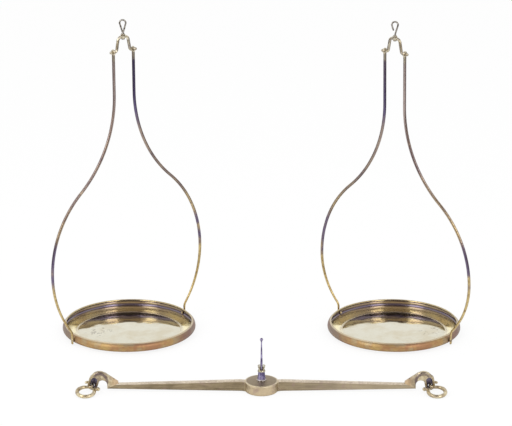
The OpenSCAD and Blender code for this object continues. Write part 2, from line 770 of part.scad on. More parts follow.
// The hook in its own plane: X outward from the bore, Y towards the front.
module flat_hook() {
    loop_c = [loop_r, 0];
    loop_mid = 195;
    loop_end = 300;
    ring_mid = 45;
    ring_end = 190;
    curl_c = polar(ring_c, ring_r + curl_r, ring_end);
    curl_end = -105;
    hook_arc(loop_c, loop_r, ring_bearing, loop_mid, loop_d);
    hook_bead(loop_c, loop_r, loop_mid, loop_d + 2 * joint_proud);
    hook_arc(loop_c, loop_r, loop_mid, loop_end, loop_d);
    hook_bead(loop_c, loop_r, loop_end, loop_d + 2 * joint_proud);
    hook_bead(loop_c, loop_r, ring_bearing, hook_d + 2 * joint_proud);
    hook_arc(ring_c, ring_r, ring_bearing - 180, ring_mid, hook_d);
    hook_bead(ring_c, ring_r, ring_mid, hook_d + 2 * joint_proud);
    hook_arc(ring_c, ring_r, ring_mid, ring_end, hook_d);
    hook_bead(ring_c, ring_r, ring_end, hook_d + 2 * joint_proud);
    hook_arc(curl_c, curl_r, curl_end, ring_end - 180, hook_d);
    hook_bead(curl_c, curl_r, curl_end, hook_ball_d);
}

// The hook of the beam's right end, hung in its bore with its front on the floor.
module hung_hook(side) {
    translate([bore_x(side), 0, bore_z(side)]) rotate([hook_slope(side), 0, 0])
        mirror([0, 1, 0]) flat_hook();
}

// Puts a part made for the beam's right end at the left end when side is -1.
module on_beam(side) {
    translate([0, beam_y, 0]) at_end(side) children();
}

module left_swan_neck() { color(brass) on_beam(-1) swan_neck(-1); }
module left_neck_rivet() { color(dark_brass) on_beam(-1) neck_rivet(); }
module left_end_plate() { color(steel) on_beam(-1) end_plate(-1); }
module left_hook() { color(brass) on_beam(-1) hung_hook(-1); }
module right_swan_neck() { color(brass) on_beam(1) swan_neck(1); }
module right_neck_rivet() { color(dark_brass) on_beam(1) neck_rivet(); }
module right_end_plate() { color(steel) on_beam(1) end_plate(1); }
module right_hook() { color(brass) on_beam(1) hung_hook(1); }

module left_pan() { color(brass) on_pan(-1) pan(); }
module left_front_rivet() { color(dark_brass) on_pan(-1) at_end(-1) pan_rivet(); }
module left_back_rivet() { color(dark_brass) on_pan(-1) at_end(1) pan_rivet(); }
module left_front_wire() {
    color(dark_brass) on_hanger(-1) at_end(-1) hanger_wire(left_flare_z, left_wide_z);
}
module left_back_wire() {
    color(dark_brass) on_hanger(-1) at_end(1) hanger_wire(left_flare_z, left_wide_z);
}
module left_yoke() { color(brass) on_hanger(-1) yoke(); }
module left_top_eye() {
    color(steel) on_hanger(-1) rotate([0, 0, left_eye_turn]) top_eye(left_eye_close);
}
module left_eye_button() { color(steel) on_hanger(-1) eye_button(); }

module right_pan() { color(brass) on_pan(1) pan(); }
module right_front_rivet() { color(dark_brass) on_pan(1) at_end(1) pan_rivet(); }
module right_back_rivet() { color(dark_brass) on_pan(1) at_end(-1) pan_rivet(); }
module right_front_wire() {
    color(dark_brass) on_hanger(1) at_end(1) hanger_wire(right_flare_z, right_wide_z);
}
module right_back_wire() {
    color(dark_brass) on_hanger(1) at_end(-1) hanger_wire(right_flare_z, right_wide_z);
}
module right_yoke() { color(brass) on_hanger(1) yoke(); }
module right_top_eye() {
    color(steel) on_hanger(1) rotate([0, 0, right_eye_turn]) top_eye(right_eye_close);
}
module right_eye_button() { color(steel) on_hanger(1) eye_button(); }

beam();
fulcrum_knife();
needle_foot();
needle_collar();
needle();
needle_pin();
left_swan_neck();
right_swan_neck();
left_neck_rivet();
right_neck_rivet();
left_end_plate();
right_end_plate();
left_hook();
right_hook();
left_pan();
right_pan();
left_front_rivet();
left_back_rivet();
right_front_rivet();
right_back_rivet();
left_front_wire();
left_back_wire();
right_front_wire();
right_back_wire();
left_yoke();
right_yoke();
left_top_eye();
right_top_eye();
left_eye_button();
right_eye_button();
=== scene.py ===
# %% [markdown]
# # A brass beam balance, taken off its pillar
#
# The object is an old equal-arm balance laid out on a white table. The beam lies level in front
# with its steel pointer up, a swan neck and an open hook at each end. Behind it stand two shallow
# brass pans, each with a hanger of two bent wires, a yoke and a small wire eye.
#
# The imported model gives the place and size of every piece. This script dresses it: the bent bars
# are bent again with smooth sections, the pans are turned on a lathe, the cast and filed pieces
# get soft edges, and every piece gets a metal with its own stains, scratches and wear.

import math

import bmesh
import bpy
from mathutils import Matrix, Vector


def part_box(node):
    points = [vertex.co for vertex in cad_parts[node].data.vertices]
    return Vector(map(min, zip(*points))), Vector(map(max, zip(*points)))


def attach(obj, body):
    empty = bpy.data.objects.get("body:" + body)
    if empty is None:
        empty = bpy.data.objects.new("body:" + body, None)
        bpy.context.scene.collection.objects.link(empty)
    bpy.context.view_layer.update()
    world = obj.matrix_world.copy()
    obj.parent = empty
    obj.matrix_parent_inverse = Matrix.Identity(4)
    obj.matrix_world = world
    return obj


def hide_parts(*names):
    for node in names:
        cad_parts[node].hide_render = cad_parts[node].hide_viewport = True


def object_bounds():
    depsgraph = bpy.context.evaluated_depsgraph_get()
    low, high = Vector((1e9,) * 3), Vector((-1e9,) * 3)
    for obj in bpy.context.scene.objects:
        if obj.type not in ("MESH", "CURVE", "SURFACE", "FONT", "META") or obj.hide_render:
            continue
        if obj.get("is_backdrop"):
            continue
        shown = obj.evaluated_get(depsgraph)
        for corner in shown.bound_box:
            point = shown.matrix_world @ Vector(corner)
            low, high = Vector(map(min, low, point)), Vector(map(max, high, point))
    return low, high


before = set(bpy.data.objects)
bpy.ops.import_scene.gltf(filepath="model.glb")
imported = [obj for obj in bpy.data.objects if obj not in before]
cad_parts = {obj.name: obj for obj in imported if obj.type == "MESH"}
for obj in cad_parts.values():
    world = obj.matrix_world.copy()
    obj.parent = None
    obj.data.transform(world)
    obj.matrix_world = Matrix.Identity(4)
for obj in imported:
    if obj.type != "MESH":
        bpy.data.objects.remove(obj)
model_low, model_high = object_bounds()
print("model box in mm:", [round(1000 * v) for v in (*model_low, *model_high)])

# %% [markdown]
# ## Sizes
#
# Lengths are easier to read in millimetres, so each one is written that way and multiplied once.
# Only the table, the lamps and the camera are in metres. The places of the pans and the beam are
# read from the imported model, which keeps the script right if the layout moves. The rest are the
# sizes of the bars, which have to be bent along the very same lines as in the model, because the
# rivets and hooks stay where they are. Sizes that only one piece needs stand beside that piece.

# %% Places and shared sizes
MM = 0.001
SIDE_NAME = {-1: "left", 1: "right"}
SET_TURN = {-1: math.radians(37), 1: math.radians(-37)}
LEAN = {-1: math.radians(0.4), 1: math.radians(-1.3)}
RIVET_Z = 8.0
NECK_Z = 419.3


def middle_of(node):
    low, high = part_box(node)
    return (low + high) / 2


PAN_AT = {side: middle_of(name + "_pan") for side, name in SIDE_NAME.items()}
BEAM_Y = middle_of("beam").y
print("pans at", {side: [round(c / MM, 1) for c in PAN_AT[side][:2]] for side in PAN_AT})
print("beam y", round(BEAM_Y / MM, 1))


def at_beam(side):
    """Where a piece made for the beam's right end goes at either end."""
    return Matrix.Translation((0, BEAM_Y, 0)) @ Matrix.Diagonal((side, 1, 1, 1))


def at_hanger(side, end=1):
    """Where a piece made for a hanger's own +X side goes on the left or right pan."""
    pan_middle = Matrix.Translation((PAN_AT[side].x, PAN_AT[side].y, 0))
    turn = Matrix.Rotation(SET_TURN[side], 4, "Z")
    pivot = Matrix.Translation((0, 0, RIVET_Z * MM))
    lean = pivot @ Matrix.Rotation(-LEAN[side], 4, "X") @ pivot.inverted()
    return pan_middle @ turn @ lean @ Matrix.Diagonal((end, 1, 1, 1))


# %% [markdown]
# ## Materials: sums on sockets
#
# A stain is a sum: some noise, times a mask, plus a little of something else. Wired by hand, each
# plus and times is a node and two links. A small class wraps a socket, so that `noise * mask + 0.2`
# in Python adds those Math nodes by itself. Only plain numbers go through it. Colours go through a
# Mix node, because a Math node would turn them grey.

# %% Signals
class Signal:
    """One number on its way through a material."""

    def __init__(self, finish, socket):
        self.finish, self.socket = finish, socket

    def do(self, operation, *others):
        inputs = dict(enumerate((self, *others)))
        node = self.finish.add("ShaderNodeMath", {"operation": operation}, inputs)
        return Signal(self.finish, node.outputs[0])

    def __add__(self, other):
        return self.do("ADD", other)

    def __sub__(self, other):
        return self.do("SUBTRACT", other)

    def __rsub__(self, other):
        return self.do("MULTIPLY_ADD", -1.0, other)

    def __mul__(self, other):
        return self.do("MULTIPLY", other)

    __radd__ = __add__
    __rmul__ = __mul__

    def ramp(self, start, stop):
        """0 before start, 1 past stop, smooth between them; start may be the larger one."""
        inputs = {"Value": self, "From Min": start, "From Max": stop}
        node = self.finish.add("ShaderNodeMapRange", {"interpolation_type": "SMOOTHSTEP"}, inputs)
        return Signal(self.finish, node.outputs[0])

    def ramp_mm(self, start, stop):
        """The same for a length, with its two ends in millimetres."""
        return self.ramp(start * MM, stop * MM)

    def band_mm(self, start, full, fading, end):
        """For a length: 1 from full to fading, 0 before start and past end, in millimetres."""
        return self.ramp_mm(start, full) * self.ramp_mm(end, fading)


# %% [markdown]
# ## Materials: a finish
#
# `Finish` holds one material, or the world. Its `add` makes any node from a type, its settings and
# its inputs, and its other methods are the few patterns that old metal needs: noise in real
# millimetres, lengths measured on the object, and the Principled shader with a bump. Everything on
# a material reads Object coordinates, which stay with the piece when it moves.

# %% Finishes
class Finish:
    def __init__(self, name, world=False):
        self.owner = (bpy.data.worlds if world else bpy.data.materials).new(name)
        self.owner.use_nodes = True
        self.tree = self.owner.node_tree
        self.tree.nodes.clear()
        coordinates = self.add("ShaderNodeTexCoord").outputs
        self.place = coordinates["Generated" if world else "Object"]

    def add(self, kind, settings=None, inputs=None):
        node = self.tree.nodes.new(kind)
        for key, value in (settings or {}).items():
            setattr(node, key, value)
        for key, value in (inputs or {}).items():
            socket = node.inputs[key]
            value = value.socket if isinstance(value, Signal) else value
            if isinstance(value, bpy.types.NodeSocket):
                self.tree.links.new(value, socket)
            else:
                socket.default_value = value
        return node

    def stretched(self, sx, sy, sz, place=None):
        """The place, stretched, so that a noise on it makes streaks."""
        inputs = {0: place or self.place, 1: (sx, sy, sz)}
        return self.add("ShaderNodeVectorMath", {"operation": "MULTIPLY"}, inputs).outputs[0]

    def moved(self, x, y, place=None):
        """The place with its zero shifted sideways, by metres."""
        inputs = {0: place or self.place, 1: (x, y, 0)}
        return self.add("ShaderNodeVectorMath", {"operation": "ADD"}, inputs).outputs[0]

    def noise(self, size_mm, detail, rough, place=None):
        """A noise from 0 to 1 whose blots are about this many millimetres across."""
        where, scale = place or self.place, 1 / (size_mm * MM)
        inputs = {"Vector": where, "Scale": scale, "Detail": detail, "Roughness": rough}
        return Signal(self, self.add("ShaderNodeTexNoise", None, inputs).outputs[0])

    def length(self, place):
        node = self.add("ShaderNodeVectorMath", {"operation": "LENGTH"}, {0: place})
        return Signal(self, node.outputs["Value"])

    def flat_distance(self, x, y, place=None):
        """How far the place is from an upright line through x and y, in metres."""
        return self.length(self.stretched(1, 1, 0, self.moved(-x, -y, place)))

    def axis(self, name):
        node = self.add("ShaderNodeSeparateXYZ", None, {0: self.place})
        return Signal(self, node.outputs[name])

    def from_middle(self, x=0.0):
        """How far the place is from x, to the left or to the right."""
        return (self.axis("X") - x).do("ABSOLUTE")

    def mark(self, name):
        """A number that was written on the mesh's points."""
        return Signal(self, self.add("ShaderNodeAttribute", {"attribute_name": name}).outputs["Fac"])

    def mix(self, mask, low, high):
        """A colour that goes from low to high with the mask; either may be a colour node's output."""
        low = (*low, 1.0) if isinstance(low, tuple) else low
        high = (*high, 1.0) if isinstance(high, tuple) else high
        return self.add("ShaderNodeMix", {"data_type": "RGBA"}, {0: mask, 6: low, 7: high}).outputs[2]

    def metal(self, colour, roughness, height, depth_mm):
        """Ends the finish as bare metal, with a bump that is depth_mm deep where height is 1."""
        relief = {"Height": height, "Distance": depth_mm * MM, "Strength": 1.0}
        bump = self.add("ShaderNodeBump", None, relief).outputs[0]
        skin = {"Base Color": colour, "Metallic": 1.0, "Roughness": roughness, "Normal": bump}
        shader = self.add("ShaderNodeBsdfPrincipled", None, skin).outputs[0]
        self.add("ShaderNodeOutputMaterial", None, {"Surface": shader})
        print("finish:", self.owner.name, "nodes:", len(self.tree.nodes))
        return self.owner


# %% [markdown]
# ## A bar that is bent as a smith bends it
#
# Hooks, hangers, yokes and eyes are all one thing: a round bar that runs straight, bends, and runs
# again. It could be a curve object with a bevel, but a bend is really an arc of a circle, and
# `bmesh.ops.spin` makes exactly that: it turns a ring of edges about a centre and leaves the wall
# behind it. So a small class keeps the last ring, where it is and where it is heading, and each
# call pushes it on by one straight or one bend. The same class moves a single point instead of a
# ring, which draws the outline of a turned piece.

# %% Full turns
# Points that are closer than this, in millimetres, become one
MERGE = 1e-4


def full_turn(bm, centre, axis, steps):
    """Spins all that is drawn the whole way round a line and closes the seam."""
    bmesh.ops.spin(
        bm, geom=[*bm.verts, *bm.edges], cent=centre, axis=axis, dvec=(0, 0, 0),
        angle=math.radians(360), steps=steps, use_merge=True, use_duplicate=False,
    )
    bmesh.ops.remove_doubles(bm, verts=bm.verts, dist=MERGE)


def wire_ring(radius, start, centre, axis, sides, steps):
    """A closed ring of round wire: a small circle at start, spun round the centre."""
    bm = bmesh.new()
    upright = Matrix.Translation(start) @ Matrix.Rotation(math.radians(90), 4, "X")
    bmesh.ops.create_circle(bm, segments=sides, radius=radius, matrix=upright)
    full_turn(bm, centre, axis, steps)
    return bm


# %% Bent bars and outlines
class Bar:
    """Travels in the XZ plane, in millimetres. Headings are degrees from +X towards +Z."""

    def __init__(self, start, heading, diameter=0.0, sides=24):
        self.bm = bmesh.new()
        self.at = Vector((start[0], 0, start[1]))
        self.heading = heading
        if diameter:
            facing = self.ahead().to_track_quat("Z", "Y").to_matrix().to_4x4()
            place = Matrix.Translation(self.at) @ facing
            bmesh.ops.create_circle(self.bm, segments=sides, radius=diameter / 2, matrix=place)
            self.last = [*self.bm.verts, *self.bm.edges]
        else:
            self.last = [self.bm.verts.new(self.at)]

    def ahead(self):
        angle = math.radians(self.heading)
        return Vector((math.cos(angle), 0, math.sin(angle)))

    def tip(self, kind=bmesh.types.BMVert):
        """The points of the last ring, or its edges."""
        return [part for part in self.last if isinstance(part, kind)]

    def swell(self, across, along_y):
        """Scales the last ring about its middle: in the plane by across, and along Y."""
        facing = Matrix.Rotation(math.radians(90 - self.heading), 4, "Y")
        space = facing.inverted() @ Matrix.Translation(-self.at)
        bmesh.ops.scale(self.bm, vec=(across, along_y, 1), space=space, verts=self.tip())

    def run(self, length, steps=1, swell=1.0, swell_y=None):
        """Goes straight on, and ends this many times as thick; swell_y is for the width along Y."""
        stride = self.ahead() * length / steps
        for _ in range(steps):
            edges = self.tip(bmesh.types.BMEdge)
            if edges:
                made = bmesh.ops.extrude_edge_only(self.bm, edges=edges)["geom"]
                self.last = [part for part in made if not isinstance(part, bmesh.types.BMFace)]
            else:
                self.last = bmesh.ops.extrude_vert_indiv(self.bm, verts=self.tip())["verts"]
            bmesh.ops.translate(self.bm, vec=stride, verts=self.tip())
            self.at += stride
            if swell != 1.0 or swell_y:
                self.swell(swell ** (1 / steps), (swell_y or swell) ** (1 / steps))
        return self

    def bend(self, radius, angle, steps, swell=1.0):
        """Turns left by a positive angle and right by a negative one, about a centre on that side."""
        side = math.copysign(1, angle)
        ahead = self.ahead()
        centre = self.at + Vector((-ahead.z, 0, ahead.x)) * radius * side
        step = math.radians(angle / steps)
        for _ in range(steps):
            turned = bmesh.ops.spin(
                self.bm, geom=self.last, cent=centre, axis=(0, -1, 0), dvec=(0, 0, 0),
                angle=step, steps=1, use_duplicate=False,
            )
            self.last = turned["geom_last"]
            self.at = centre + Matrix.Rotation(-step, 3, "Y") @ (self.at - centre)
            self.heading += angle / steps
            if swell != 1.0:
                self.swell(swell ** (1 / steps), swell ** (1 / steps))
        return self

    def go(self, x, z, steps=1):
        """A straight run to a point, whatever the heading was; only for outlines."""
        way = Vector((x, 0, z)) - self.at
        self.heading = math.degrees(math.atan2(way.z, way.x))
        return self.run(way.length, steps)

    def round_off(self, radius):
        """Closes the end with a rounded tip."""
        reach, size = 0.0, 1.0
        for angle in (25, 50, 70, 85):
            new_reach, new_size = radius * math.sin(math.radians(angle)), math.cos(math.radians(angle))
            self.run(new_reach - reach, 1, new_size / size)
            reach, size = new_reach, new_size
        return self

    def ball(self, diameter, centre=None):
        place = Matrix.Translation(centre or self.at)
        bmesh.ops.create_uvsphere(self.bm, u_segments=24, v_segments=16, radius=diameter / 2, matrix=place)
        return self

    def turn_round(self, steps):
        """Spins the outline round the Z axis, which makes the turned piece."""
        full_turn(self.bm, (0, 0, 0), (0, 0, 1), steps)
        return self


print("bar and outline tools ready")

# %% [markdown]
# ## From a bmesh to a finished piece
#
# Each piece is drawn in millimetres near the origin and then put in its place in one step, so the
# object itself stays at the origin, unturned and unscaled. A mirrored place turns faces inside
# out, so the normals are worked out after it. `sharp` is the angle past which an edge stays crisp
# instead of being shaded over. Then the piece is hung on an empty for the body it rides on, and
# the imported node that it stands for is hidden.

# %% Finished pieces
def close_ends(bm):
    bmesh.ops.holes_fill(bm, edges=[e for e in bm.edges if e.is_boundary], sides=0)


def join(bm, other):
    """Adds another bmesh to this one, by way of a mesh."""
    carrier = bpy.data.meshes.new("carrier")
    other.to_mesh(carrier)
    other.free()
    bm.from_mesh(carrier)
    bpy.data.meshes.remove(carrier)


def make_object(bm, name, material, sharp):
    mesh = bpy.data.meshes.new(name)
    bm.to_mesh(mesh)
    bm.free()
    mesh.shade_smooth()
    mesh.set_sharp_from_angle(angle=math.radians(sharp))
    mesh.materials.append(material)
    thing = bpy.data.objects.new(name, mesh)
    bpy.context.scene.collection.objects.link(thing)
    return thing


def stand_in(thing, body, node):
    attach(thing, body)
    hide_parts(node)
    print(f"{thing.name}: {len(thing.data.polygons)} faces on body {body}")


def piece(bm, name, place, body, node, material, sharp):
    bmesh.ops.remove_doubles(bm, verts=bm.verts, dist=MERGE)
    bmesh.ops.transform(bm, matrix=place @ Matrix.Scale(MM, 4), verts=bm.verts)
    bmesh.ops.recalc_face_normals(bm, faces=bm.faces)
    thing = make_object(bm, name, material, sharp)
    stand_in(thing, body, node)
    return thing


# %% [markdown]
# ## The pans: sizes
#
# The real pan is spun on a lathe: a disc of brass is pressed over a form while it turns. So the
# outline of its wall, turned once round, is the whole shape. From the middle it has the flat
# floor, a wide arc that starts the wall, a tight one up to the widest ring, and a lip that leans
# back in. The two angles follow from where these arcs meet.

# %% Pan sizes
WALL = 1.3
PAN_R = 96.5
FLOOR_R = 76.0
FLARE_R = 46.5
BELLY_R = 5.0
BELLY_Z = RIVET_Z
LIP_R = 8.5
LIP_H = 7.5
BEAD_D = 2.0
FLARE_ANGLE = math.degrees(math.atan2(PAN_R - BELLY_R - FLOOR_R, FLARE_R - BELLY_Z))
LIP_ANGLE = math.degrees(math.asin(LIP_H / LIP_R))
print("flare", round(FLARE_ANGLE, 1), "and lip", round(LIP_ANGLE, 1), "degrees")

# %% [markdown]
# ## The pans: finish
#
# Spinning leaves fine rings and a floor that is a little higher in its middle, and years of weights
# have dented it. Crown and dents together make the reflections wander. The floor is rubbed pale,
# with a painted highlight line in its corner. The wall is golden below. Above that it has a violet
# tarnish, darkest round the widest ring, up to the bare edge; these violet and navy bands are also
# a painted reflection of a dark room in front. The outside is orange-brown, with painted shade at
# its left and right ends, where the round wall turns away from the camera. An attribute written on
# the mesh says which side is the outside.

# %% Pan finish
# Each scuffed patch: x and y from the pan's middle, and its reach
SCUFFS = {-1: ((68, 42, 13), (-44, -6, 20)), 1: ((54, -4, 18), (-30, 50, 12))}
# The floor is highest in its middle and falls with the square of the distance, this far out
FLOOR_CROWN_R, FLOOR_CROWN = 75.0, 1800.0
VIOLET = (0.23, 0.20, 0.28)
NAVY = (0.11, 0.09, 0.16)


def scuff_marks(f, side, centred):
    """A few scratches all over, and many in the scuffed patches."""
    scratch = f.noise(1.4, 3, 0.7, f.stretched(1, 0.25, 1, centred))
    patch = f.noise(11, 3, 0.6, centred).ramp(0.52, 0.60)
    marks = scratch.ramp(0.68, 0.80) * 0.2
    for x, y, reach in SCUFFS[side]:
        near = f.flat_distance(x * MM, y * MM, centred).ramp_mm(reach * 1.3, reach * 0.5)
        marks = marks + near * patch * scratch.ramp(0.42, 0.60)
    return marks * 0.7


def bowl_colour(f, radius, high, stain, corner):
    floor = f.mix(stain.ramp(0.40, 0.66), (0.73, 0.71, 0.60), (0.67, 0.62, 0.48))
    wall = f.mix(stain.ramp(0.38, 0.62), (0.82, 0.72, 0.42), (0.74, 0.61, 0.32))
    wall = f.mix(high.ramp_mm(5.0, 3.6), wall, (1.0, 0.91, 0.60))
    colour = f.mix(radius.ramp_mm(72, 84), floor, wall)
    # Painted highlight: a pale line round the floor's corner.
    colour = f.mix(corner * 0.8, colour, (0.90, 0.84, 0.68))
    # The violet band and the navy one round the widest ring are tarnish, and also a painted reflection of
    # a dark room in front of the pan.
    past_flare = radius.ramp_mm(88, 90)
    lip = high.band_mm(3.2, 5.2, 14.0, 15.0) * past_flare
    colour = f.mix(lip * (0.48 + stain * 0.45), colour, VIOLET)
    belly = high.band_mm(4.6, 5.8, 8.0, 9.4) * past_flare
    return f.mix(belly * 0.72, colour, NAVY)


def outer_colour(f, side, centred, stain, blot):
    brown = (stain * 0.6 + blot * 0.4).ramp(0.38, 0.60)
    colour = f.mix(brown, (0.50, 0.35, 0.15), (0.40, 0.22, 0.12))
    colour = f.mix(f.noise(20, 2, 0.5, centred).ramp(0.50, 0.64), colour, (0.44, 0.34, 0.20))
    # Painted shade: the outside is darker at its left and right ends, where the round wall turns away from
    # the camera.
    flank_shade = f.from_middle(PAN_AT[side].x).ramp_mm(60, 90)
    return f.mix(flank_shade * 0.62, colour, (0.17, 0.13, 0.15))


def pan_brass(side):
    f = Finish(SIDE_NAME[side] + "_pan_brass")
    centred = f.moved(-PAN_AT[side].x, -PAN_AT[side].y)
    radius = f.flat_distance(PAN_AT[side].x, PAN_AT[side].y)
    high = f.axis("Z")
    outside = f.mark("outside")
    stain = f.noise(34, 5, 0.62, centred)
    blot = f.noise(6, 4, 0.6, centred)
    dents = f.noise(24, 1, 0.4, centred)
    rings = f.noise(0.5, 2, 0.6, f.add("ShaderNodeCombineXYZ", None, {0: radius}).outputs[0])
    marks = scuff_marks(f, side, centred)
    # Where the floor meets the wall: a painted highlight line, and rougher metal.
    corner = radius.band_mm(74.2, 75.2, 77.2, 78.5)
    inner = f.mix(marks, bowl_colour(f, radius, high, stain, corner), (0.13, 0.09, 0.06))
    colour = f.mix(outside, inner, outer_colour(f, side, centred, stain, blot))
    bare_edge = high.ramp_mm(14.2, 15.0) * radius.ramp_mm(88.5, 90)
    colour = f.mix(bare_edge * 0.8, colour, (0.70, 0.62, 0.46))
    roughness = 0.05 + blot * 0.03 + rings * 0.02 + radius.ramp_mm(80, 90) * 0.11
    roughness = roughness + outside * 0.28 + marks * 0.3 + corner * (1 - outside) * 0.22
    crown = radius.do("MINIMUM", FLOOR_CROWN_R * MM)
    height = dents * 1.1 + rings * 0.002 - crown * crown * (1 - outside) * FLOOR_CROWN
    return f.metal(colour, roughness, height, 0.5)


PAN_BRASS = {side: pan_brass(side) for side in SIDE_NAME}

# %% [markdown]
# ## The pans: shape
#
# The inside is the outer path walked back with each radius less by the wall's thickness. The
# rolled edge is a thin ring of its own on the lip. A point is on the outside when it is farther
# from the bowl than the middle of the wall, and each stretch of the outline asks that about its
# own arc's centre.

# %% Pans
def is_outside(radius, height):
    if radius < FLOOR_R:
        return height <= WALL / 2
    if height > BELLY_Z:
        return math.hypot(radius - (PAN_R - LIP_R), height - BELLY_Z) > LIP_R - WALL / 2
    if math.degrees(math.atan2(radius - FLOOR_R, FLARE_R - height)) < FLARE_ANGLE:
        return math.hypot(radius - FLOOR_R, height - FLARE_R) > FLARE_R - WALL / 2
    return math.hypot(radius - (PAN_R - BELLY_R), height - BELLY_Z) > BELLY_R - WALL / 2


def pan_outline():
    outline = Bar((0, 0), 0)
    outline.run(FLOOR_R, 10).bend(FLARE_R, FLARE_ANGLE, 10).bend(BELLY_R, 90 - FLARE_ANGLE, 12)
    outline.bend(LIP_R, LIP_ANGLE, 10).bend(WALL / 2, 180, 4)
    outline.bend(LIP_R - WALL, -LIP_ANGLE, 10).bend(BELLY_R - WALL, FLARE_ANGLE - 90, 12)
    outline.bend(FLARE_R - WALL, -FLARE_ANGLE, 10).go(0, WALL, 10)
    return outline


def pan(side):
    outline = pan_outline()
    name = SIDE_NAME[side] + "_pan"
    print(f"{name}: outline of {len(outline.bm.verts)} points")
    outline.turn_round(128)
    lip_middle = LIP_R - WALL / 2
    bead_x = PAN_R - LIP_R + lip_middle * math.cos(math.radians(LIP_ANGLE))
    bead_z = BELLY_Z + lip_middle * math.sin(math.radians(LIP_ANGLE))
    join(outline.bm, wire_ring(BEAD_D / 2, (bead_x, 0, bead_z), (0, 0, 0), (0, 0, 1), 14, 128))
    place = Matrix.Translation((PAN_AT[side].x, PAN_AT[side].y, 0))
    thing = piece(outline.bm, name + "_spun", place, name, name, PAN_BRASS[side], 50)
    mark = thing.data.attributes.new("outside", "FLOAT", "POINT")
    for vertex, value in zip(thing.data.vertices, mark.data):
        radius = (vertex.co - PAN_AT[side]).xy.length
        value.value = float(is_outside(radius / MM, vertex.co.z / MM))


for side in SIDE_NAME:
    pan(side)

# %% [markdown]
# ## The hanger wires: finish
#
# The wires were handled at the foot, so they are bright yellow below and go to a dull brown
# bronze above. Towards the top the front wire is a pale rose-brown, while the back one, and a
# stretch round the hoop, is smoked to a dark blue. Where the yoke rubs them they are bare again.

# %% Wire finish
def wire_brass():
    f = Finish("wire_brass")
    high = f.axis("Z")
    stain = f.noise(26, 4, 0.6)
    blot = f.noise(4, 3, 0.6)
    drawn = f.noise(1.2, 3, 0.6, f.stretched(1, 1, 0.06))
    handled = (high + (stain - 0.5) * (160 * MM)).ramp_mm(250, 70)
    worn = f.mix(blot.ramp(0.35, 0.7), (0.62, 0.49, 0.24), (0.40, 0.29, 0.13))
    old = f.mix(stain.ramp(0.4, 0.62), (0.34, 0.27, 0.22), (0.20, 0.155, 0.16))
    colour = f.mix(handled, old, worn)
    behind = (f.axis("Y") - PAN_AT[1].y).ramp_mm(-3, 3)
    colour = f.mix((1 - behind) * high.ramp_mm(270, 350) * 0.85, colour, (0.62, 0.51, 0.47))
    smoked = behind * high.ramp_mm(300, 335)
    round_hoop = high.band_mm(85, 105, 145, 175) * f.noise(60, 2, 0.5).ramp(0.46, 0.54)
    colour = f.mix(smoked.do("MAXIMUM", round_hoop) * 0.85, colour, (0.11, 0.09, 0.21))
    rubbed = (high + (blot - 0.5) * (12 * MM)).ramp_mm(402, 410)
    colour = f.mix(rubbed * 0.85, colour, (0.66, 0.60, 0.45))
    colour = f.mix(blot.ramp(0.62, 0.74) * 0.5, colour, (0.12, 0.08, 0.08))
    return f.metal(colour, 0.17 + blot * 0.16, drawn * 0.5 + blot * 0.5, 0.05)


WIRE_BRASS = wire_brass()

# %% [markdown]
# ## The hanger wires: shape
#
# From its eye on the yoke a wire drops straight, flares out in one long arc, comes back in with
# another, closes in below the widest point, and turns straight down beside the pan, where it is
# hammered flat for the rivet. The flat end is made by the same ring, drawn on a few millimetres at
# a time while it is pressed thinner one way and wider the other. The eye is a ring of its own.

# %% Wire sizes
STEM_D = 4.3
WIRE_D = 3.2
EYE_X = 16.8
EYE_RING_R = 3.0
EYE_TUBE_R = 1.5
HALF_HOOP = 128.0
TAIL_GAP = 0.3
FOOT_X = PAN_R + TAIL_GAP + WIRE_D / 2
FOOT_Z = RIVET_Z + 8
FOOT_BEND_R = 12.0
FLARE_SHARE = 0.54
# For each side, the heights where the wires start to flare and where they are widest
HEIGHTS = {-1: (358.0, 109.0), 1: (342.0, 96.0)}
# Each stroke on the flat end: length, steps, and how many times as thick and as wide it ends
BLADE = (
    (4.0, 5, 0.62, 1.28),
    (4.0, 4, 0.85, 1.38),
    (3.5, 3, 1.0, 0.98),
    (1.8, 2, 1.0, 0.80),
    (0.6, 1, 0.7, 0.55),
)


# %% Hanger wires
def hanger_wire(side, end, name):
    flare_z, wide_z = HEIGHTS[side]
    across, drop = HALF_HOOP - EYE_X, flare_z - wide_z
    flare_r = (across * across + drop * drop) / (2 * across)
    flare = math.degrees(math.asin(drop / flare_r))
    hoop = 2 * math.degrees(math.atan2(HALF_HOOP - FOOT_X, wide_z - FOOT_Z))
    hoop_r = (wide_z - FOOT_Z) / math.sin(math.radians(hoop)) - FOOT_BEND_R
    top = NECK_Z - EYE_RING_R
    wire = Bar((EYE_X, top), -90, STEM_D)
    wire.run(top - flare_z, 6)
    wire.bend(flare_r * FLARE_SHARE, flare, 28).bend(flare_r * (1 - FLARE_SHARE), -flare, 28)
    wire.bend(hoop_r, -hoop, 24, WIRE_D / STEM_D).bend(FOOT_BEND_R, hoop, 8)
    for length, steps, thick, wide in BLADE:
        wire.run(length, steps, thick, wide)
    close_ends(wire.bm)
    join(wire.bm, wire_ring(EYE_TUBE_R, (EYE_X, 0, top), (EYE_X, 0, NECK_Z), (1, 0, 0), 20, 32))
    body = SIDE_NAME[side] + "_hanger"
    print(f"{name}: flares by {flare:.1f} degrees and turns in by {hoop:.1f} at the hoop")
    piece(wire.bm, name + "_bent", at_hanger(side, end), body, name, WIRE_BRASS, 60)


for side in SIDE_NAME:
    hanger_wire(side, side, SIDE_NAME[side] + "_front_wire")
    hanger_wire(side, -side, SIDE_NAME[side] + "_back_wire")

# %% [markdown]
# ## The fittings: finish
#
# Yokes, hooks, collar, rivets and swan necks are yellow brass that was filed and then worn, with
# brown left in the hollows. One recipe makes them all, each with colours of its own. The swan
# necks have two marks more: a redder stain where they are riveted to the arm, and a painted shade
# along the arch, where its rounded face turns from the light.

# %% Fitting finish
ARCH_X, ARCH_Z = 221.0, 15.0


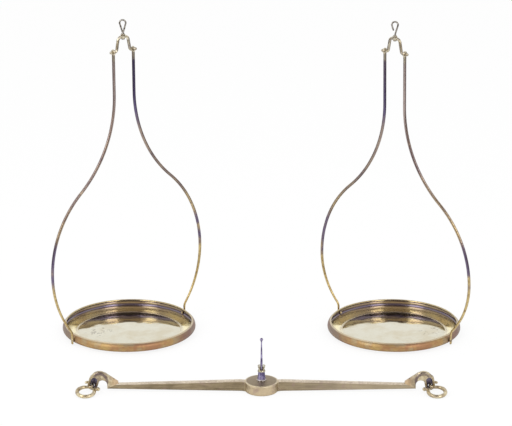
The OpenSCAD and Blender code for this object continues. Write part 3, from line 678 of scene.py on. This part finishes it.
def fitting_brass(name, worn, dull, deep, more=None):
    f = Finish(name)
    stain = f.noise(13, 4, 0.6)
    blot = f.noise(1.8, 4, 0.65)
    filed = f.noise(0.7, 2, 0.6, f.stretched(0.25, 1, 1))
    tarnish = (stain * 0.75 + blot * 0.25).ramp(0.40, 0.68)
    clean = f.mix(f.noise(5, 2, 0.5).ramp(0.35, 0.65), worn, dull)
    colour = f.mix(tarnish * 0.75, clean, deep)
    violet = f.noise(8, 3, 0.6, f.stretched(1, 1, 1.4)).ramp(0.52, 0.70)
    colour = f.mix(violet * 0.5, colour, (0.27, 0.21, 0.23))
    if more:
        colour = more(f, colour, stain)
    pits = blot.ramp(0.66, 0.74)
    colour = f.mix(pits * 0.5, colour, (0.13, 0.09, 0.06))
    roughness = 0.17 + blot * 0.14 + tarnish * 0.14 + pits * 0.2
    return f.metal(colour, roughness, filed * 0.3 + blot * 0.6, 0.09)


def neck_stain_and_shade(f, colour, stain):
    reach = f.from_middle()
    colour = f.mix(reach.ramp_mm(209, 199) * 0.65, colour, (0.62, 0.43, 0.25))
    across, up = reach - ARCH_X * MM, f.axis("Z") - ARCH_Z * MM
    from_arch = f.length(f.add("ShaderNodeCombineXYZ", None, {0: across, 1: up}).outputs[0])
    # Painted shade: a dark band along the middle of the arch's face, where the rounded form turns from the
    # light.
    arch_shade = from_arch.band_mm(7.4, 9.2, 11.2, 12.8) * reach.ramp_mm(231, 226)
    return f.mix(arch_shade * stain.ramp(0.20, 0.50) * 0.9, colour, (0.15, 0.11, 0.11))


FITTING_BRASS = fitting_brass("fitting_brass", (0.76, 0.68, 0.48), (0.62, 0.52, 0.32), (0.28, 0.20, 0.12))
YOKE_BRASS = fitting_brass("yoke_brass", (0.76, 0.71, 0.57), (0.58, 0.52, 0.38), (0.20, 0.17, 0.14))
COLLAR_BRASS = fitting_brass("collar_brass", (0.66, 0.63, 0.50), (0.46, 0.42, 0.29), (0.14, 0.12, 0.09))
RIVET_BRASS = fitting_brass("rivet_brass", (0.55, 0.46, 0.30), (0.30, 0.22, 0.13), (0.10, 0.07, 0.06))
NECK_BRASS = fitting_brass(
    "neck_brass", (0.68, 0.59, 0.40), (0.48, 0.39, 0.24), (0.20, 0.15, 0.12), neck_stain_and_shade
)

# %% [markdown]
# ## The yokes
#
# A yoke is one bar bent into a bridge with two shoulders, its ends turned out and filed down to
# the necks that the wires hang on, each with a ball so that the wire can't slip off. Half of it is
# bent and `bmesh.ops.mirror` gives the other half. A turned boss in the middle carries the eye.

# %% Yoke sizes
YOKE_D = 4.2
YOKE_H = 20.4
YOKE_NECK_D = 3.0
KNOB_D, KNOB_X = 4.4, 20.5
SPLAY = 10.0
YOKE_FOOT_X = 14.4
SHOULDER_R, YOKE_FOOT_R = 5.6, 3.6
NECK_STEP, NECK_RUN = 0.1, 5.9
YOKE_BOSS_R, SHANK_HOLE_R = 3.2, 1.35
BOSS_RISE, BOSS_SINK = 1.8, 0.2
BOSS_CHAMFER, BOSS_ROUND = 0.4, 0.6
BRIDGE_Z = NECK_Z + YOKE_H
BOSS_TOP = BRIDGE_Z + YOKE_D / 2 + BOSS_RISE
YOKE_LOW = BRIDGE_Z - YOKE_D / 2 - BOSS_SINK
BENDS = SHOULDER_R + YOKE_FOOT_R
splay_sin, splay_cos = math.sin(math.radians(SPLAY)), math.cos(math.radians(SPLAY))
LEG = (YOKE_H - BENDS + BENDS * splay_sin) / splay_cos
SHOULDER_X = YOKE_FOOT_X - BENDS * splay_cos - LEG * splay_sin
print("yoke leg", round(LEG, 2), "mm, shoulder at x", round(SHOULDER_X, 2))


# %% Yokes
def yoke_boss():
    outline = Bar((SHANK_HOLE_R, YOKE_LOW), 0)
    outline.go(YOKE_BOSS_R - BOSS_CHAMFER, YOKE_LOW).go(YOKE_BOSS_R, YOKE_LOW + BOSS_CHAMFER)
    outline.go(YOKE_BOSS_R, BOSS_TOP - BOSS_ROUND).bend(BOSS_ROUND, 90, 4)
    outline.go(SHANK_HOLE_R, BOSS_TOP).go(SHANK_HOLE_R, YOKE_LOW)
    return outline.turn_round(40).bm


def yoke(side):
    bar = Bar((0, BRIDGE_Z), 0, YOKE_D)
    bar.run(SHOULDER_X, 2).bend(SHOULDER_R, SPLAY - 90, 12).run(LEG, 3)
    bar.bend(YOKE_FOOT_R, 90 - SPLAY, 12).run(NECK_STEP, 1, YOKE_NECK_D / YOKE_D).run(NECK_RUN, 2)
    bar.round_off(YOKE_NECK_D / 2).ball(KNOB_D, Vector((KNOB_X, 0, NECK_Z)))
    half = [*bar.bm.verts, *bar.bm.edges, *bar.bm.faces]
    bmesh.ops.mirror(bar.bm, geom=half, axis="X", merge_dist=0.01)
    close_ends(bar.bm)
    join(bar.bm, yoke_boss())
    name = SIDE_NAME[side] + "_yoke"
    piece(bar.bm, name + "_bent", at_hanger(side), name, name, YOKE_BRASS, 45)


for side in SIDE_NAME:
    yoke(side)

# %% [markdown]
# ## Steels
#
# The pointer, its foot and the plates in the swan necks are steel that was heated until it turned
# blue, and has since gone partly brown. The knife under the boss is bare, and the foot's lower rim
# is painted pale as a reflection. The little eyes over the yokes are plain iron wire, grey with
# rust in its pores.

# %% Steel finishes
def blued_steel(name, dark, pale):
    f = Finish(name)
    stain = f.noise(5, 4, 0.6, f.stretched(1, 1, 0.5))
    blot = f.noise(1.2, 3, 0.6)
    blue = f.mix(stain.ramp(0.40, 0.60), dark, pale)
    colour = f.mix(blot.ramp(0.58, 0.72) * 0.5, blue, (0.20, 0.15, 0.14))
    near_boss = f.from_middle().ramp_mm(50, 40)
    # The knife below the boss is bare steel; on the needle foot's lower rim the pale is a painted
    # reflection.
    bare_knife_and_rim_reflection = f.axis("Z").ramp_mm(18.0, 16.8) * near_boss
    colour = f.mix(bare_knife_and_rim_reflection * 0.85, colour, (0.70, 0.67, 0.66))
    return f.metal(colour, 0.14 + blot * 0.14, blot, 0.05)


def eye_steel():
    f = Finish("eye_steel")
    stain = f.noise(3, 4, 0.65)
    colour = f.mix(stain.ramp(0.44, 0.60), (0.52, 0.50, 0.46), (0.11, 0.09, 0.075))
    return f.metal(colour, 0.30 + stain * 0.22, stain, 0.08)


BLUED_STEEL = blued_steel("blued_steel", (0.10, 0.08, 0.17), (0.34, 0.30, 0.47))
PLATE_STEEL = blued_steel("plate_steel", (0.05, 0.045, 0.08), (0.14, 0.13, 0.20))
EYE_STEEL = eye_steel()

# %% [markdown]
# ## The top eyes
#
# The eye that hooks over the beam's hook is thin iron wire: up one side of a drop, round the top
# and down the other. On the left hanger it closes, on the right one the end stops short. Below it
# a flange rests on the yoke's boss and a shank goes through, so the eye can turn.

# %% Top eyes
EYE_D = 2.4
EYE_H = 20.4
EYE_BEND_R = 4.3
# How far the wire comes back down, as a share of the way up
CLOSED = {-1: 0.9, 1: 0.45}
END_PLAY, BUTTON_T, PEEN_H = 0.12, 1.3, 0.4
FLANGE_Z = BOSS_TOP + END_PLAY
FLANGE_R, FLANGE_T = 2.2, 0.8
SHANK_R = 1.3
SHANK_END = YOKE_LOW - END_PLAY - BUTTON_T - PEEN_H
# The edges are cut back by this much, over this height at the riveted end
EDGE, PEEN_EDGE = 0.2, 0.22


def shank():
    outline = Bar((0, SHANK_END), 0)
    outline.go(SHANK_R - EDGE, SHANK_END).go(SHANK_R, SHANK_END + PEEN_EDGE).go(SHANK_R, FLANGE_Z)
    outline.go(FLANGE_R - EDGE, FLANGE_Z).go(FLANGE_R, FLANGE_Z + EDGE)
    outline.go(FLANGE_R, FLANGE_Z + FLANGE_T - EDGE).go(FLANGE_R - EDGE, FLANGE_Z + FLANGE_T)
    outline.go(0, FLANGE_Z + FLANGE_T)
    return outline.turn_round(32).bm


def top_eye(side):
    root_z = FLANGE_Z + FLANGE_T
    rise = EYE_H - EYE_BEND_R - EYE_D / 2
    slant = math.degrees(math.asin(EYE_BEND_R / rise))
    length = math.sqrt(rise * rise - EYE_BEND_R * EYE_BEND_R)
    bar = Bar((0, root_z), 90 - slant, EYE_D, 20)
    bar.run(length, 6).bend(EYE_BEND_R, 180 + 2 * slant, 28).run(length * CLOSED[side], 4)
    bar.round_off(EYE_D / 2).ball(EYE_D + 0.2, Vector((0, 0, root_z)))
    close_ends(bar.bm)
    join(bar.bm, shank())
    place = at_hanger(side) @ Matrix.Rotation(-SET_TURN[side], 4, "Z")
    name = SIDE_NAME[side] + "_top_eye"
    piece(bar.bm, name + "_bent", place, name, name, EYE_STEEL, 45)


for side in SIDE_NAME:
    top_eye(side)

# %% [markdown]
# ## The hooks
#
# Each hook is an S that lies almost flat: a small loop through the steel plate, a big open ring,
# and a curl that ends in a ball. It is bent in its own plane, which then slopes from the bore down
# to the table. The bar was forged thickest in the ring.

# %% Hook sizes
LOOP_D, HOOK_D, RING_D = 3.8, 4.4, 5.3
LOOP_R, RING_R, CURL_R = 6.2, 11.7, 4.0
BALL_D = 5.4
# Bearings from the loop's middle: where the bar starts, and where the ring's middle lies
LOOP_START, RING_BEARING = 300.0, 83.0
# How far the bar turns in the ring while it thickens, in the whole ring, and in the curl
RING_SWELLS, RING_TURN, CURL_TURN = 60.0, 370 - RING_BEARING, 115.0
# The bore lies this far below the middle of the oval, turned outwards by TILT degrees
OVAL_X, OVAL_Z, BORE_DROP = 229.3, 12.4, 4.0
TILT = {-1: 18.0, 1: 10.0}
TABLE_GAP = 0.1


# %% Hooks
def hook(side):
    tilt = math.radians(TILT[side])
    bore = Vector((OVAL_X + BORE_DROP * math.sin(tilt), 0, OVAL_Z - BORE_DROP * math.cos(tilt)))
    front = (LOOP_R + RING_R) * math.sin(math.radians(RING_BEARING)) + RING_R
    slope = math.asin((bore.z - RING_D / 2 - TABLE_GAP) / front)
    bearing = math.radians(LOOP_START)
    start = (LOOP_R + LOOP_R * math.cos(bearing), LOOP_R * math.sin(bearing))
    bar = Bar(start, LOOP_START - 90, LOOP_D)
    bar.bend(LOOP_R, RING_BEARING - LOOP_START, 40, HOOK_D / LOOP_D)
    bar.bend(RING_R, RING_SWELLS, 16, RING_D / HOOK_D).bend(RING_R, RING_TURN - RING_SWELLS, 48, 0.92)
    bar.bend(CURL_R, -CURL_TURN, 20, 0.84).ball(BALL_D)
    join(bar.bm, Bar(start, LOOP_START - 270, LOOP_D).round_off(LOOP_D / 2).bm)
    close_ends(bar.bm)
    lying = Matrix.Rotation(math.radians(90) + slope, 4, "X")
    place = at_beam(side) @ Matrix.Translation(bore * MM) @ lying
    name = SIDE_NAME[side] + "_hook"
    print(f"{name}: slopes down by {math.degrees(slope):.1f} degrees")
    piece(bar.bm, name + "_bent", place, name, name, FITTING_BRASS, 60)


for side in SIDE_NAME:
    hook(side)

# %% [markdown]
# ## The beam: finish
#
# The beam is duller than the fittings. It was drawn-filed lengthways, so its streaks run along X.
# Its top faces, and a band down the top of each side, are painted paler than the sides, as light
# from above. The boss is golden round its rim, with a pale brow that is wear and a painted
# highlight, and a brown top.

# %% Beam finish
# The line of the arms' top: its height over the beam's middle, and its fall towards the tips
TOP_LINE_Z, TOP_FALL = 16.4, 0.0279


def boss_wear_and_highlight(f, colour, stain, blot):
    from_axis = f.flat_distance(0, BEAM_Y)
    on_boss = from_axis.ramp_mm(23.6, 23.1)
    rim = on_boss * from_axis.ramp_mm(20.5, 22.2) * stain.ramp(0.30, 0.60)
    colour = f.mix(rim * 0.8, colour, (0.68, 0.56, 0.38))
    colour = f.mix(on_boss * from_axis.ramp_mm(21.5, 20.0) * 0.9, colour, (0.26, 0.205, 0.135))
    # The pale brow is wear and a painted highlight along the boss's top edge.
    brow_wear_and_highlight = from_axis.band_mm(20.8, 22.1, 23.1, 23.6) * f.axis("Z").ramp_mm(11.8, 13.4)
    return f.mix(brow_wear_and_highlight * blot.ramp(0.25, 0.6) * 0.75, colour, (0.66, 0.58, 0.42))


def beam_brass():
    f = Finish("beam_brass")
    stain = f.noise(16, 5, 0.65, f.stretched(0.35, 1, 1))
    streak = f.noise(1.6, 4, 0.7, f.stretched(0.035, 1, 1))
    blot = f.noise(2.4, 4, 0.65)
    side = f.mix((stain * 0.5 + streak * 0.5).ramp(0.36, 0.64), (0.40, 0.325, 0.21), (0.18, 0.14, 0.085))
    side = f.mix(f.axis("X").ramp_mm(-20, 120) * 0.3, side, (0.60, 0.52, 0.40))
    top = f.mix((stain * 0.6 + blot * 0.4).ramp(0.38, 0.62), (0.80, 0.72, 0.60), (0.55, 0.47, 0.37))
    # Painted light: the top faces, and a band down the top of each side, are paler as if lit from above.
    over_top = f.axis("Z") + f.from_middle() * TOP_FALL - TOP_LINE_Z * MM
    lit_top_band = (over_top + (streak - 0.5) * (1.6 * MM)).ramp_mm(-2.4, -1.2)
    colour = boss_wear_and_highlight(f, f.mix(lit_top_band, side, top), stain, blot)
    tint = f.noise(12, 3, 0.6).ramp(0.55, 0.72)
    colour = f.mix(tint * 0.42, colour, (0.36, 0.25, 0.24))
    roughness = 0.34 + blot * 0.18 + streak * 0.10
    return f.metal(colour, roughness, streak * 0.45 + blot * 0.55, 0.14)


BEAM_BRASS = beam_brass()

# %% [markdown]
# ## The beam: shape
#
# The arms and the boss are one casting. The boss is turned from an outline: the ring it stands on,
# a rounded lower edge, a straight rim, a rounded brow and a low crown, with the socket for the
# knife underneath. Each arm starts as a rectangle inside the boss and is drawn out towards the tip
# in a few long steps, wider where it flows out of the boss. Bevels soften its edges, and a plane
# cuts the long slope that the swan neck sits on.

# %% Boss
BOSS_R, BOSS_H = 23.0, 14.4
BOSS_FOOT_ROUND, BROW_ROUND = 2.4, 1.2
CROWN_BASE_R, CROWN_R = 20.6, 163.9
SOCKET_R, SOCKET_DEPTH = 15.0, 9.0
SOCKET_TAPER, SOCKET_EDGE = 0.1, 0.4


def boss():
    outline = Bar((0, SOCKET_DEPTH), 0)
    outline.run(SOCKET_R - SOCKET_TAPER).go(SOCKET_R, SOCKET_EDGE).go(SOCKET_R + SOCKET_EDGE, 0)
    outline.go(BOSS_R - BOSS_FOOT_ROUND, 0).bend(BOSS_FOOT_ROUND, 90, 8)
    outline.go(BOSS_R, BOSS_H - BROW_ROUND).bend(BROW_ROUND, 90, 6).go(CROWN_BASE_R, BOSS_H)
    crown = math.degrees(math.asin(CROWN_BASE_R / CROWN_R))
    outline.heading = 180 - crown
    return outline.bend(CROWN_R, crown, 12).turn_round(128).bm


# %% Arm sizes
ROOT_X, TIP_X = 19.0, 210.5
SCARF_TOP, SCARF_TIP = Vector((195.5, 0, 10.98)), Vector((TIP_X, 0, 4.2))
ARM_LOW_Z, ARM_LOW_RISE = 0.4, 3.0
ARM_TOP_Z = 15.9
ARM_BEVEL = 0.7
# The arm's thickness at its root, and on the straight taper from the boss's rim to the tip
ROOT_T, RIM_T, TIP_T = 12.6, 6.6, 4.8
# Where the arm flows out of the boss, it is thicker than the taper: x and thickness
FLOW_OUT = ((20, 11.6), (21, 10.6), (22, 9.6), (23, 8.7), (24, 8.0), (25, 7.5), (27, 6.9), (30, 6.55))
LONG_STEPS = (60, 100, 140, 180, 211.4)
# From DIP_END inwards the arm's top dips towards the boss, by DIP over the length DIP_L
DIP, DIP_END, DIP_L = 2.3, 30, 9


def arm_section(x):
    """Middle height and height of the arm at x."""
    low = ARM_LOW_Z + (x - ROOT_X) * ARM_LOW_RISE / (TIP_X - ROOT_X)
    fall = (x - ROOT_X) * (ARM_TOP_Z - SCARF_TOP.z) / (SCARF_TOP.x - ROOT_X)
    high = ARM_TOP_Z - fall - DIP * max(0.0, (DIP_END - x) / DIP_L) ** 2
    return (low + high) / 2, high - low


def thickness(x):
    return RIM_T - (x - BOSS_R) * (RIM_T - TIP_T) / (TIP_X - BOSS_R)


# %% Arms
def drawn_arm():
    """A rectangle inside the boss, drawn out step by step to past the tip."""
    bm = bmesh.new()
    bmesh.ops.create_grid(bm, x_segments=1, y_segments=1, size=0.5)
    bmesh.ops.rotate(bm, verts=bm.verts, matrix=Matrix.Rotation(math.radians(90), 3, "Y"))
    x_was, thick_was = ROOT_X, ROOT_T
    mid_was, tall_was = arm_section(ROOT_X)
    bmesh.ops.scale(bm, vec=(1, thick_was, tall_was), verts=bm.verts)
    bmesh.ops.translate(bm, vec=(x_was, 0, mid_was), verts=bm.verts)
    face = bm.faces[:]
    for x, thick in [*FLOW_OUT, *((x, thickness(x)) for x in LONG_STEPS)]:
        made = bmesh.ops.extrude_face_region(bm, geom=face)["geom"]
        bmesh.ops.delete(bm, geom=face, context="FACES_ONLY")
        face = [part for part in made if isinstance(part, bmesh.types.BMFace)]
        verts = face[0].verts[:]
        middle, tall = arm_section(x)
        here = Matrix.Translation((-x_was, 0, -mid_was))
        bmesh.ops.scale(bm, vec=(1, thick / thick_was, tall / tall_was), space=here, verts=verts)
        bmesh.ops.translate(bm, vec=(x - x_was, 0, middle - mid_was), verts=verts)
        x_was, thick_was, tall_was, mid_was = x, thick, tall, middle
    bmesh.ops.recalc_face_normals(bm, faces=bm.faces)
    return bm


def arm():
    bm = drawn_arm()
    runs_along = [e for e in bm.edges if abs(e.verts[0].co.x - e.verts[1].co.x) > 1]
    bmesh.ops.bevel(
        bm, geom=[e for e in runs_along if not e.is_boundary], offset=ARM_BEVEL, offset_type="OFFSET",
        affect="EDGES", segments=3, profile=0.5, material=-1, clamp_overlap=True,
    )
    slope = (SCARF_TIP - SCARF_TOP).normalized()
    cuts = ((SCARF_TOP, Vector((-slope.z, 0, slope.x))), (Vector((TIP_X, 0, 0)), Vector((1, 0, 0))))
    for point, outward in cuts:
        every = [*bm.verts, *bm.edges, *bm.faces]
        bmesh.ops.bisect_plane(bm, geom=every, plane_co=point, plane_no=outward, clear_outer=True)
        at_tip = [e for e in bm.edges if e.is_boundary and e.verts[0].co.x > TIP_X / 2]
        bmesh.ops.holes_fill(bm, edges=at_tip, sides=0)
    return bm


casting = boss()
for end in SIDE_NAME:
    half = arm()
    bmesh.ops.scale(half, vec=(end, 1, 1), verts=half.verts)
    join(casting, half)
close_ends(casting)
piece(casting, "beam_cast", at_beam(1), "beam", "beam", BEAM_BRASS, 35)

# %% [markdown]
# ## Filed and turned pieces
#
# The swan necks, plates, rivets, collar, foot, needle and buttons already have their true shapes in
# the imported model, but its mesh is loose flat triangles with knife-sharp edges. A copy is merged,
# shaded smooth up to a chosen angle, and given a narrow bevel, so that each edge catches a thin
# line of light as a filed edge does. The copy then stands for the node.

# %% Copies with soft edges
def softened(node, body, material, sharp=30, edge_mm=0.0):
    bm = bmesh.new()
    bm.from_mesh(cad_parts[node].data)
    bmesh.ops.remove_doubles(bm, verts=bm.verts, dist=MERGE * MM)
    bmesh.ops.dissolve_limit(
        bm, angle_limit=math.radians(1.0), use_dissolve_boundaries=False, verts=bm.verts, edges=bm.edges
    )
    thing = make_object(bm, node + "_filed", material, sharp)
    if edge_mm:
        bevel = thing.modifiers.new("filed edge", "BEVEL")
        bevel.width = edge_mm * MM
        bevel.segments = 2
        bevel.limit_method = "ANGLE"
        bevel.angle_limit = math.radians(sharp)
        bevel.harden_normals = True
    stand_in(thing, body, node)


for name in SIDE_NAME.values():
    softened(name + "_swan_neck", "beam", NECK_BRASS, edge_mm=0.6)
    softened(name + "_end_plate", "beam", PLATE_STEEL, edge_mm=0.2)
    softened(name + "_neck_rivet", "beam", RIVET_BRASS, edge_mm=0.15)
    softened(name + "_front_rivet", name + "_pan", RIVET_BRASS)
    softened(name + "_back_rivet", name + "_pan", RIVET_BRASS)
    softened(name + "_eye_button", name + "_top_eye", EYE_STEEL, edge_mm=0.15)
softened("fulcrum_knife", "beam", BLUED_STEEL, edge_mm=0.15)
softened("needle_foot", "beam", BLUED_STEEL, 35, 0.2)
softened("needle_collar", "beam", COLLAR_BRASS, 35, 0.2)
softened("needle", "beam", BLUED_STEEL, 35)
softened("needle_pin", "beam", FITTING_BRASS, 35)

# %% [markdown]
# ## The table
#
# The photograph is on plain white. The table is a wide disc that shows the camera a near-white of
# its own, mixed with a little paper that still takes the soft shadow. For every other ray it is
# plain paper near the object and dim past that, because polished brass would show a bright table
# that never ends as one flat glare.

# %% Table
# In metres: the disc's radius, where the plain paper ends, and where all is dim
TABLE_R = 14.0
PAPER_END, DIM_START = 0.75, 1.25


def table():
    f = Finish("white_table")
    seen = f.add("ShaderNodeLightPath").outputs["Is Camera Ray"]
    far = f.flat_distance(0, 0).ramp(PAPER_END, DIM_START)
    paper = f.add("ShaderNodeBsdfDiffuse", None, {"Color": (0.86, 0.86, 0.86, 1)}).outputs[0]
    white = f.add("ShaderNodeEmission", None, {"Color": (1, 1, 1, 1), "Strength": 1.0}).outputs[0]
    dim = f.add("ShaderNodeEmission", None, {"Color": (0.20, 0.18, 0.19, 1), "Strength": 1.0}).outputs[0]
    to_camera = f.add("ShaderNodeMixShader", None, {0: 0.86, 1: paper, 2: white}).outputs[0]
    to_metal = f.add("ShaderNodeMixShader", None, {0: far, 1: paper, 2: dim}).outputs[0]
    both = f.add("ShaderNodeMixShader", None, {0: seen, 1: to_metal, 2: to_camera}).outputs[0]
    f.add("ShaderNodeOutputMaterial", None, {"Surface": both})
    bm = bmesh.new()
    bmesh.ops.create_circle(bm, cap_ends=True, segments=64, radius=TABLE_R)
    make_object(bm, "table_top", f.owner, 30)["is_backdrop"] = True


table()
print("table", 2 * TABLE_R, "m across")

# %% [markdown]
# ## The room
#
# Polished brass is only as interesting as the room in it. The camera sees a white world. Shiny
# metal sees white walls behind and beside it, and in front a wall that is beige below and a dark
# violet above, which gives the pans their golden and their dark bands. The ceiling is greyer.

# %% Room
WHITE = (1.0, 1.0, 1.0)


def room():
    f = Finish("room", world=True)
    bpy.context.scene.world = f.owner
    paths = f.add("ShaderNodeLightPath").outputs
    seen, shiny = (Signal(f, paths[name]) for name in ("Is Camera Ray", "Is Glossy Ray"))
    height = f.axis("Z")
    front = f.mix(height.ramp(0.46, 0.62), (0.64, 0.54, 0.41), (0.13, 0.11, 0.18))
    behind = (f.axis("Y") - f.axis("X") * 0.25).ramp(-0.15, 0.35)
    beside = f.from_middle().ramp(0.44, 0.64) * height.ramp(0.12, 0.26)
    walls = f.mix(behind.do("MAXIMUM", beside), front, (1.0, 0.99, 0.97))
    walls = f.mix(height.ramp(0.90, 0.985), walls, (0.52, 0.50, 0.47))
    colour = f.mix(seen, f.mix(shiny, WHITE, walls), WHITE)
    ground = f.add("ShaderNodeBackground", None, {"Color": colour, "Strength": 1.0}).outputs[0]
    f.add("ShaderNodeOutputWorld", None, {"Surface": ground})
    print("room nodes:", len(f.tree.nodes))


room()

# %% [markdown]
# ## The lamps
#
# Two soft lamps stand in front, one near by on the left and a larger one farther off on the
# right, beside the camera. They leave the two bright marks on the wall of each pan, and they give
# the soft shadows.

# %% Lamps
def lamp(name, place, towards, size, power):
    data = bpy.data.lights.new(name, "AREA")
    data.shape = "RECTANGLE"
    data.size, data.size_y = size
    data.energy = power
    thing = bpy.data.objects.new(name, data)
    thing.location = place
    thing.rotation_euler = (Vector(towards) - Vector(place)).to_track_quat("-Z", "Y").to_euler()
    bpy.context.scene.collection.objects.link(thing)
    print(name, "of", power, "W")


lamp("left soft lamp", (-1.30, -1.35, 1.45), (-0.1, 0.08, 0), (0.85, 1.7), 13)
lamp("right soft lamp", (1.97, -3.0, 2.3), (0.1, 0.08, 0), (1.4, 2.4), 36)

# %% [markdown]
# ## The camera
#
# The photograph looks down by about 18 degrees from 3.5 m with a long lens. The optical axis
# doesn't pass through the picture's middle, as happens when a photograph is cropped, and a small
# lens shift puts it back. The focal length and the shift were fitted in the photograph's pixels.

# %% Camera
PITCH = math.radians(17.63)
DISTANCE = 3.5
AIM_Z = 0.2
SENSOR = 36
PHOTO_WIDTH_PX, FOCAL_PX = 512, 2445
SHIFT_X_PX, SHIFT_Y_PX = -5.5, -13

aim = Vector((0, PAN_AT[1].y, AIM_Z))
eye = aim + DISTANCE * Vector((0, -math.cos(PITCH), math.sin(PITCH)))
camera = bpy.data.cameras.new("camera")
camera.sensor_width = SENSOR
camera.lens = SENSOR * FOCAL_PX / PHOTO_WIDTH_PX
camera.shift_x = SHIFT_X_PX / PHOTO_WIDTH_PX
camera.shift_y = SHIFT_Y_PX / PHOTO_WIDTH_PX
camera.clip_end = 60
viewer = bpy.data.objects.new("camera", camera)
viewer.location = eye
viewer.rotation_euler = (math.radians(90) - PITCH, 0, 0)
bpy.context.scene.collection.objects.link(viewer)
bpy.context.scene.camera = viewer
bpy.context.scene.view_settings.view_transform = "Standard"
print("camera at", [round(c, 3) for c in eye], "lens", round(camera.lens, 1))

# %% [markdown]
# ## The size at the end
#
# The dressed model should be as large as the imported one, so both boxes are written down and
# compared.

# %% Finish
seen_low, seen_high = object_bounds()
growth = (*(model_low - seen_low), *(seen_high - model_high))
print("growth in mm:", [round(g / MM, 2) for g in growth])
